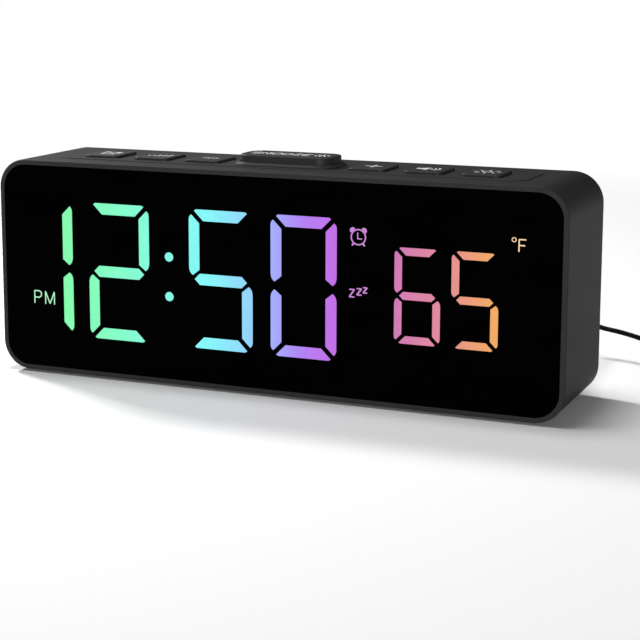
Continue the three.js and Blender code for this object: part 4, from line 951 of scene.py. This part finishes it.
# Strokes of the capitals that the signs use, on a cell one unit high
LETTERS = {
    "P": (0.66, [[(0, 0), (0, 1), (0.42, 1), (0.61, 0.88), (0.61, 0.62), (0.42, 0.48), (0, 0.48)]]),
    "M": (0.86, [[(0, 0), (0, 1), (0.4, 0.05), (0.8, 1), (0.8, 0)]]),
    "F": (0.6, [[(0, 0), (0, 1), (0.58, 1)], [(0, 0.52), (0.5, 0.52)]]),
    "Z": (0.62, [[(0, 1), (0.6, 1), (0, 0), (0.6, 0)]]),
    "S": (0.62, [[(0.58, 0.84), (0.44, 1), (0.16, 1), (0, 0.84), (0, 0.64), (0.14, 0.53),
                  (0.46, 0.47), (0.6, 0.36), (0.6, 0.16), (0.44, 0), (0.14, 0), (0, 0.16)]]),
    "N": (0.66, [[(0, 0), (0, 1), (0.62, 0), (0.62, 1)]]),
    "O": (0.72, [[(0.2, 0), (0, 0.2), (0, 0.8), (0.2, 1), (0.5, 1), (0.7, 0.8), (0.7, 0.2),
                  (0.5, 0), (0.2, 0)]]),
    "E": (0.56, [[(0.55, 0), (0, 0), (0, 1), (0.55, 1)], [(0, 0.52), (0.48, 0.52)]]),
}


def word(text, x, z, height, width, gap=0.2):
    """Strokes of a word whose first letter stands at x, z."""
    shapes = []
    for letter in text:
        advance, lines = LETTERS[letter]
        for line in lines:
            points = [(x + u * height, z + v * height) for u, v in line]
            shapes += [stroke(a, b, width) for a, b in zip(points, points[1:])]
        x += (advance + gap) * height
    return shapes


def alarm_sign(x, z, size, width):
    """A twin-bell alarm clock about x, z, with a face of the given radius."""
    shapes = ring_strokes(x, z, size, width)
    for side in (-1, 1):
        bell_x = x + side * 0.72 * size
        bell_z = z + 0.8 * size
        tilt = 90 - side * 42
        shapes.append(arc(bell_x, bell_z, 0.37 * size, tilt - 100, tilt + 100, 10))
        shapes.append(ray(x, z, -90 + side * 38, size, 1.32 * size, width * 1.3))
    hand_x, hand_z = x - 0.08 * size, z - 0.2 * size
    shapes.append(stroke((hand_x, z + 0.55 * size), (hand_x, hand_z), width * 0.8))
    shapes.append(stroke((hand_x - width * 0.4, hand_z), (x + 0.48 * size, hand_z), width * 0.8))
    return shapes


def add_film(name, shapes, light):
    place(outline_prism(name, shapes, FRONT + 0.005, FRONT + 0.3, light), "milky_film")


def make_display():
    outlines = digit("1", TEN_X) + digit("2", HOUR_X) + digit("5", MINUTE_X)
    outlines += digit("0", MINUTE_X + MINUTE_PITCH)
    for side in (-1, 1):
        outlines.append(circle(COLON_DIAMETER, COLON_X, MIDDLE + side * COLON_SPREAD / 2, 24))
    outlines += digit("6", SMALL_X, SMALL_SCALE, SMALL_EXTRA_GAP)
    outlines += digit("5", SMALL_X + SMALL_PITCH, SMALL_SCALE, SMALL_EXTRA_GAP)
    add_film("display_digits", outlines, DIGIT_LIGHT)

    words = []
    for letter, (x, z, height) in SIGN_LETTERS.items():
        words += word(letter, x, FOOT_HEIGHT + z, height, SIGN_STROKE)
    words += ring_strokes(DEGREE_X, DEGREE_Z, DEGREE_RADIUS, DEGREE_STROKE)
    add_film("display_words", words, WORD_LIGHT)

    signs = alarm_sign(ALARM_X, ALARM_Z, ALARM_RADIUS, ALARM_STROKE)
    for x, z, height, widened in SNOOZE_LETTERS:
        for part in word("Z", x, FOOT_HEIGHT + z, height, SIGN_STROKE):
            signs.append([(x + (u - x) * widened, v) for u, v in part])
    add_film("display_signs", signs, SIGN_LIGHT)


# Keys, their printed signs and the snooze bar
def make_cap(name, size, x, top, steps, body, replaced):
    """A cap with rounded upper edges on a wider flange."""
    outline = key_outline(size, x, steps)
    flange = key_outline(size, x, steps, FLANGE_REACH)
    rings = [
        [(u, v, z) for u, v in shape(inset)]
        for shape, inset, z in [
            (flange, 0, KEY_LOW),
            (flange, 0, KEY_LOW + FLANGE),
            (outline, 0, KEY_LOW + FLANGE),
            *[(outline, inset, z) for inset, z in fillet(0, top, KEY_EDGE, 5)],
            (outline, 4 * KEY_EDGE, top),
        ]
    ]
    place(soften(rings_mesh(name, rings, KEY_PLASTIC)), "key_plastic", replaced, body=body)


def flat_print(name, outlines, top, body):
    """Ink on a key's top, from outlines seen from above."""
    printed = outline_prism(name, outlines, 0, 1, PRINT)
    for vertex in printed.data.vertices:
        x, depth, y = vertex.co
        height = top + (INK_HEIGHT if depth == 0 else -INK_DEPTH)
        vertex.co = (x, y, height * MM)
    printed.data.update()
    place(printed, "key_plastic", body=body)


def set_sign(x, y):
    """Upright strokes that grow to the right, for the clock's settings."""
    shapes = []
    for k in range(5):
        height = 1.4 + 0.75 * k
        left = x - 3.4 + 1.7 * k
        shapes.append(stroke((left, y - 2), (left, y - 2 + height), 0.6))
    return shapes


def volume_sign(x, y):
    """A horn with three waves."""
    horn = [(x - 4.2, y - 1.1), (x - 2.8, y - 1.1), (x - 0.4, y - 3), (x - 0.4, y + 3)]
    horn += [(x - 2.8, y + 1.1), (x - 4.2, y + 1.1)]
    shapes = [horn]
    for radius in (1.5, 2.8, 4.1):
        shapes += ring_strokes(x - 0.7, y, radius, 0.5, -45, 45, 8)
    return shapes


def sun_sign(x, y, radius, width):
    """A ring with eight rays that reach two and a half times as far."""
    shapes = ring_strokes(x, y, radius, width)
    for k in range(8):
        shapes.append(ray(x, y, 45 * k, 1.55 * radius, 2.5 * radius, width))
    return shapes


def make_keys():
    y = KEY_ROW_Y
    signs = {
        "alarm": lambda x: alarm_sign(x, y - 0.4, 2.9, 0.55),
        "set": lambda x: set_sign(x, y),
        "minus": lambda x: [stroke((x - 2.75, y), (x + 2.75, y), 0.7)],
        "plus": lambda x: [
            stroke((x - 2.8, y), (x + 2.8, y), 0.7),
            stroke((x, y + 0.35), (x, y + 2.8), 0.7),
            stroke((x, y - 2.8), (x, y - 0.35), 0.7),
        ],
        "volume": lambda x: volume_sign(x, y),
        "brightness": lambda x: sun_sign(x, y, 1.75, 0.5),
    }
    for label, x in KEYS.items():
        body = f"key_{label}"
        make_cap(f"{label}_key_cap", KEY_SIZE, x, KEY_TOP, 6, body, body)
        flat_print(f"{label}_key_sign", signs[label](x), KEY_TOP, body)
    make_cap("snooze_bar_cap", SNOOZE_SIZE, 0, SNOOZE_TOP, 12, "snooze", "snooze_bar")
    lettering = word("SNOOZE", -12.8, y - 2, 3.9, 0.7, 0.23)
    lettering += sun_sign(10.7, y, 1.05, 0.6)
    flat_print("snooze_bar_sign", lettering, SNOOZE_TOP, "snooze")


# Rear cover with its speaker slots, air slots, bay, inlet and screw wells
def hole_tool(outline, front=COVER_FRONT - 1, chamfer=0.15):
    """A cutter from the front place through the cover's rear, where its mouth is chamfered."""
    rear = COVER_REAR
    profile = [(0, front), (0, rear - chamfer), (-chamfer, rear), (-chamfer, rear + 1)]
    return facing("tool", outline, profile, COVER_PLASTIC)


def block(width, height, front, rear, x, z, corner=0.1):
    """A box with its corners just broken, seen from the rear."""
    outline = rect_outline(width, height, corner, x, z, 2)
    return facing("block", outline, [(0, front), (0, rear)], COVER_PLASTIC)


def cover_bosses():
    """What stands on the cover's inner side, for the door, the cell, the speaker and the inlet."""
    rim_front = LUG_SLOT_FRONT - 0.7
    cup = round_outline(CELL_DIAMETER + 2 * (FIT + BAY_WALL), BAY_X, MIDDLE, 48)
    ring = round_outline(SPEAKER_DIAMETER + 2 * (FIT + RING_WALL), SPEAKER_X, MIDDLE, 48)
    bosses = [
        block(DOOR_WIDTH + 4, DOOR_HEIGHT + 5, rim_front, BOSS_REAR, BAY_X, MIDDLE, 2),
        facing("cup", cup, [(0, BAY_FRONT - BAY_FLOOR), (0, BOSS_REAR)], COVER_PLASTIC),
        block(8, 4.6, DOOR_SEAT - (CELL_THICKNESS + 1), DOOR_SEAT, BAY_X, PLUS_Z),
        facing("ring", ring, [(0, COVER_FRONT - RING_DEPTH), (0, BOSS_REAR)], COVER_PLASTIC),
    ]
    for side in (-1, 1):
        x = INLET_X + side * CHEEK_SPREAD / 2
        bosses.append(block(1.6, 7, COVER_FRONT - CHEEK_DEPTH, BOSS_REAR, x, INLET_Z))
    return bosses


def grille_and_vents():
    slots = []
    for i in range(SLOT_COUNT):
        offset = (i - (SLOT_COUNT - 1) / 2) * SLOT_PITCH
        length = 2 * math.sqrt((GRILLE_DIAMETER / 2) ** 2 - offset ** 2)
        slots.append(rect_outline(length, SLOT_WIDTH, SLOT_CORNER, SPEAKER_X, MIDDLE + offset, 6))
    for i in range(VENT_COUNT):
        x = VENT_X + (i - (VENT_COUNT - 1) / 2) * SLOT_PITCH
        slots.append(rect_outline(SLOT_WIDTH, VENT_LENGTH, SLOT_CORNER, x, VENT_Z, 6))
    return [hole_tool(slot) for slot in slots]


def bay_pockets():
    """Doorway, cell cup, side contact's pocket, finger notch and the pockets of the two lugs."""
    doorway = rect_outline(
        DOOR_WIDTH + 2 * FIT, DOOR_HEIGHT + 2 * FIT, DOOR_CORNER + FIT, BAY_X, MIDDLE, 6
    )
    cup = round_outline(CELL_DIAMETER + 2 * FIT, BAY_X, MIDDLE, 48)
    plus_front = DOOR_SEAT - CELL_THICKNESS - 0.5
    pockets = [
        hole_tool(doorway, DOOR_SEAT),
        facing("cup", cup, [(0, BAY_FRONT), (0, REAR)], COVER_PLASTIC),
        block(6, 1.6, plus_front, DOOR_SEAT + 0.5, BAY_X, PLUS_Z),
        hole_tool(round_outline(10, BAY_X, MIDDLE + DOOR_HEIGHT / 2), COVER_REAR - 1),
    ]
    slot_low = DOOR_LOW - LUG_LENGTH - FIT
    slot_high = DOOR_LOW + 2
    slot_rear = DOOR_FRONT + LUG_THICKNESS + FIT
    for side in (-1, 1):
        x = BAY_X + side * LUG_SPREAD / 2
        z = (slot_low + slot_high) / 2
        high = slot_high - slot_low
        pockets.append(block(LUG_WIDTH + 2 * FIT, high, LUG_SLOT_FRONT, slot_rear, x, z))
    return pockets


def inlet_and_screw_holes():
    seat = round_outline(SPEAKER_DIAMETER + 2 * FIT, SPEAKER_X, MIDDLE, 48)
    seat_profile = [(0, COVER_FRONT - SPEAKER_DEPTH), (0, COVER_FRONT)]
    holes = [
        hole_tool(round_outline(INLET_HOLE, INLET_X, INLET_Z), chamfer=0),
        hole_tool(round_outline(GRIP_DIAMETER + 1.2, INLET_X, INLET_Z), BOSS_REAR - FIT),
        facing("seat", seat, seat_profile, COVER_PLASTIC),
    ]
    for _, (x, above) in four_corners(COVER_POST_X, COVER_POST_Z):
        z = MIDDLE + above
        holes.append(hole_tool(round_outline(SCREW_HOLE, x, z), chamfer=0))
        holes.append(hole_tool(round_outline(SCREW_WELL, x, z), COVER_REAR - 1.3))
    return holes


def make_rear_cover():
    gap = CASE_WALL + FIT
    profile = [(gap, COVER_FRONT), *fillet(gap, COVER_REAR, 0.2)]
    cover = facing("rear_cover_plate", case_outline, profile, COVER_PLASTIC)
    boolean(cover, cover_bosses(), "UNION")
    boolean(cover, grille_and_vents() + bay_pockets() + inlet_and_screw_holes())
    place(soften(cover, 30), "case_plastic", "rear_cover")


def make_battery_door():
    outline = rect_outline(DOOR_WIDTH, DOOR_HEIGHT, DOOR_CORNER, BAY_X, MIDDLE, 8)
    profile = [(0.1, DOOR_FRONT), (0, DOOR_FRONT + 0.1), *fillet(0, COVER_REAR, 0.2)]
    door = facing("battery_door_panel", outline, profile, COVER_PLASTIC)
    lug_rear = DOOR_FRONT + LUG_THICKNESS
    lugs = []
    for side in (-1, 1):
        x = BAY_X + side * LUG_SPREAD / 2
        lugs.append(block(LUG_WIDTH, 2 * LUG_LENGTH, DOOR_FRONT, lug_rear, x, DOOR_LOW))
    boolean(door, lugs, "UNION")
    grooves = []
    for i in range(5):
        z = MIDDLE + DOOR_HEIGHT / 2 - 4 - i * 1.4
        groove = rect_outline(9, 0.7, 0.34, BAY_X, z, 5)
        grooves.append(hole_tool(groove, COVER_REAR - 0.35, 0.1))
    boolean(door, grooves)
    place(soften(door), "case_plastic", "battery_door", body="battery_door")


def screw_profile():
    """Point, ridges of the thread and pan head of a cover screw, as (radius, y)."""
    seat = SCREW_SEAT
    profile = [(0.02, seat - SCREW_LENGTH), (1.0, seat - SCREW_LENGTH + 0.3)]
    for turn in range(12):
        y = seat - 9 + turn * 0.7
        profile += [(1.3, y), (1.3, y + 0.15), (1.05, y + 0.3), (1.05, y + 0.5)]
    profile += [(1.3, seat), (2.7, seat), (2.7, seat + 0.5), (2.5, seat + 0.8)]
    return profile + [(1.9, seat + 0.97), (0.02, seat + 1)]


def make_cover_screws():
    """Pan heads with a cross recess."""
    recess = [(0.1, SCREW_SEAT + 0.1), (0, SCREW_SEAT + 1.5)]
    for index, (x, above) in four_corners(COVER_POST_X, COVER_POST_Z):
        z = MIDDLE + above
        screw = turned(f"cover_screw_{index}_body", screw_profile(), x, z, STEEL, 24)
        cross = []
        for wide, high in ((2.6, 0.55), (0.55, 2.6)):
            cross.append(facing("tool", rect_outline(wide, high, 0.1, x, z, 2), recess, STEEL))
        boolean(screw, cross)
        place(soften(screw), "screw_steel", f"cover_screw_{index}")


def make_feet():
    profile = [(0.25, 0), (0.08, 0.06), (0, 0.2), (0, FOOT_HEIGHT + 0.4)]
    places = four_corners(CASE_WIDTH / 2 - FOOT_SETBACK_X, CASE_DEPTH / 2 - FOOT_SETBACK_Y)
    for index, (x, y) in places:
        outline = round_outline(FOOT_DIAMETER, x, y, 40)
        foot = upright(f"foot_pad_{index}", outline, profile, RUBBER)
        place(soften(foot), "foot_rubber", f"foot_{index}")


# Carried-over solids get finished materials
def dress_solids():
    labels = [*KEYS, "snooze"]
    finishes = {
        BOARD: ["display_board", "key_board"],
        WHITE_PLASTIC: ["light_box"],
        FILM: ["light_diffuser"],
        AMBER: ["key_ribbon", *[f"plunger_{k}" for k in labels]],
        SWITCH_PLASTIC: ["dc_jack", "temperature_sensor", *[f"switch_{k}" for k in labels]],
        PAPER: ["speaker"],
        NICKEL: ["coin_cell", "cell_contact_minus", "cell_contact_plus", "dc_plug_barrel"],
        STEEL: ["key_board_screw_1", "key_board_screw_2"]
        + [f"display_screw_{i}" for i in range(1, 5)],
    }
    for material, names in finishes.items():
        for name in names:
            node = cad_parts[name]
            for slot in node.material_slots:
                slot.link = "OBJECT"
                slot.material = material


make_case()
make_lens()
make_display()
make_keys()
make_rear_cover()
make_battery_door()
make_cover_screws()
make_feet()
dress_solids()


# Floor, world and lights
def seen_directly(n):
    """1 for what the camera sees, also in gloss and through glass, and 0 for scattered light."""
    paths = n.add("ShaderNodeLightPath").outputs
    either = n.math("MAXIMUM", paths["Is Camera Ray"], paths["Is Glossy Ray"])
    return n.math("MAXIMUM", either, paths["Is Transmission Ray"])


def floor_paper():
    """White paper that takes the shadow near the clock and fades into the white world."""
    n = new_material("floor_paper")
    direct = seen_directly(n)
    paper = n.noise(400, 3)
    mix = n.add("ShaderNodeMix", Factor=direct)
    mix.data_type = "RGBA"
    scattered, seen = [socket for socket in mix.inputs if socket.type == "RGBA"]
    mixed_colour = next(socket for socket in mix.outputs if socket.type == "RGBA")
    n.set(scattered, (*grey(SCATTERED_FLOOR), 1))
    n.set(seen, n.blend(paper, grey(0.99), WHITE))
    n.look(Base_Color=mixed_colour, Roughness=0.9, Specular_IOR_Level=0)
    n.bump(paper, 0.01)

    distance = n.add("ShaderNodeVectorMath")
    distance.operation = "LENGTH"
    n.set(distance.inputs[0], n.position)
    far = n.span(distance.outputs["Value"], 0, 1, *FLOOR_FADE)
    surface = n.add("ShaderNodeMixShader", Fac=n.math("MULTIPLY", direct, far))
    n.set(surface.inputs[1], n.shader.outputs["BSDF"])
    n.set(surface.inputs[2], n.add("ShaderNodeBsdfTransparent").outputs["BSDF"])
    n.fill(n.tree.nodes["Material Output"], Surface=surface.outputs["Shader"])
    return n.owner


def make_floor():
    r = FLOOR_REACH
    corners = [(-r, -r, 0), (r, -r, 0), (r, r, 0), (-r, r, 0)]
    floor = add_mesh("floor", corners, [(0, 1, 2, 3)], floor_paper())


def make_world():
    """White for the camera; gloss sees a dim ceiling, brighter low down and on the left."""
    world = bpy.data.worlds.new("studio")
    bpy.context.scene.world = world
    n = Nodes(world, "Background", "Generated")
    way = n.add("ShaderNodeSeparateXYZ", Vector=n.position).outputs
    gloss = n.math("MAXIMUM", n.span(way["Z"], *CEILING), n.span(way["X"], *SIDE_WALL))
    paths = n.add("ShaderNodeLightPath").outputs
    strength = AMBIENT
    for kind, level in (("Glossy", gloss), ("Camera", 1), ("Transmission", 1)):
        mix = n.add("ShaderNodeMix", Factor=paths[f"Is {kind} Ray"], A=strength, B=level)
        strength = mix.outputs["Result"]
    n.look(Color=(*WHITE, 1), Strength=strength)


def area_light(name, direction, distance, size, power):
    """A square lamp that looks at the clock's middle from the direction."""
    data = bpy.data.lights.new(name, "AREA")
    data.shape = "SQUARE"
    data.size = size
    data.energy = power
    light = add_object(name, data)
    toward = Vector(direction).normalized()
    turn = toward.to_track_quat("Z", "Y").to_matrix().to_4x4()
    light.matrix_world = Matrix.Translation(toward * distance + Vector((0, 0, MIDDLE * MM))) @ turn


make_floor()
make_world()
area_light("key_light", (-0.9, 0.35, 0.715), distance=0.738, size=0.11, power=4.5)
area_light("front_light", (0.4, -1, 0.08), distance=1.5, size=0.22, power=15)
area_light("top_light", (-0.11, -0.03, 1), distance=1, size=0.36, power=5.4)

bpy.context.scene.view_settings.view_transform = "Standard"
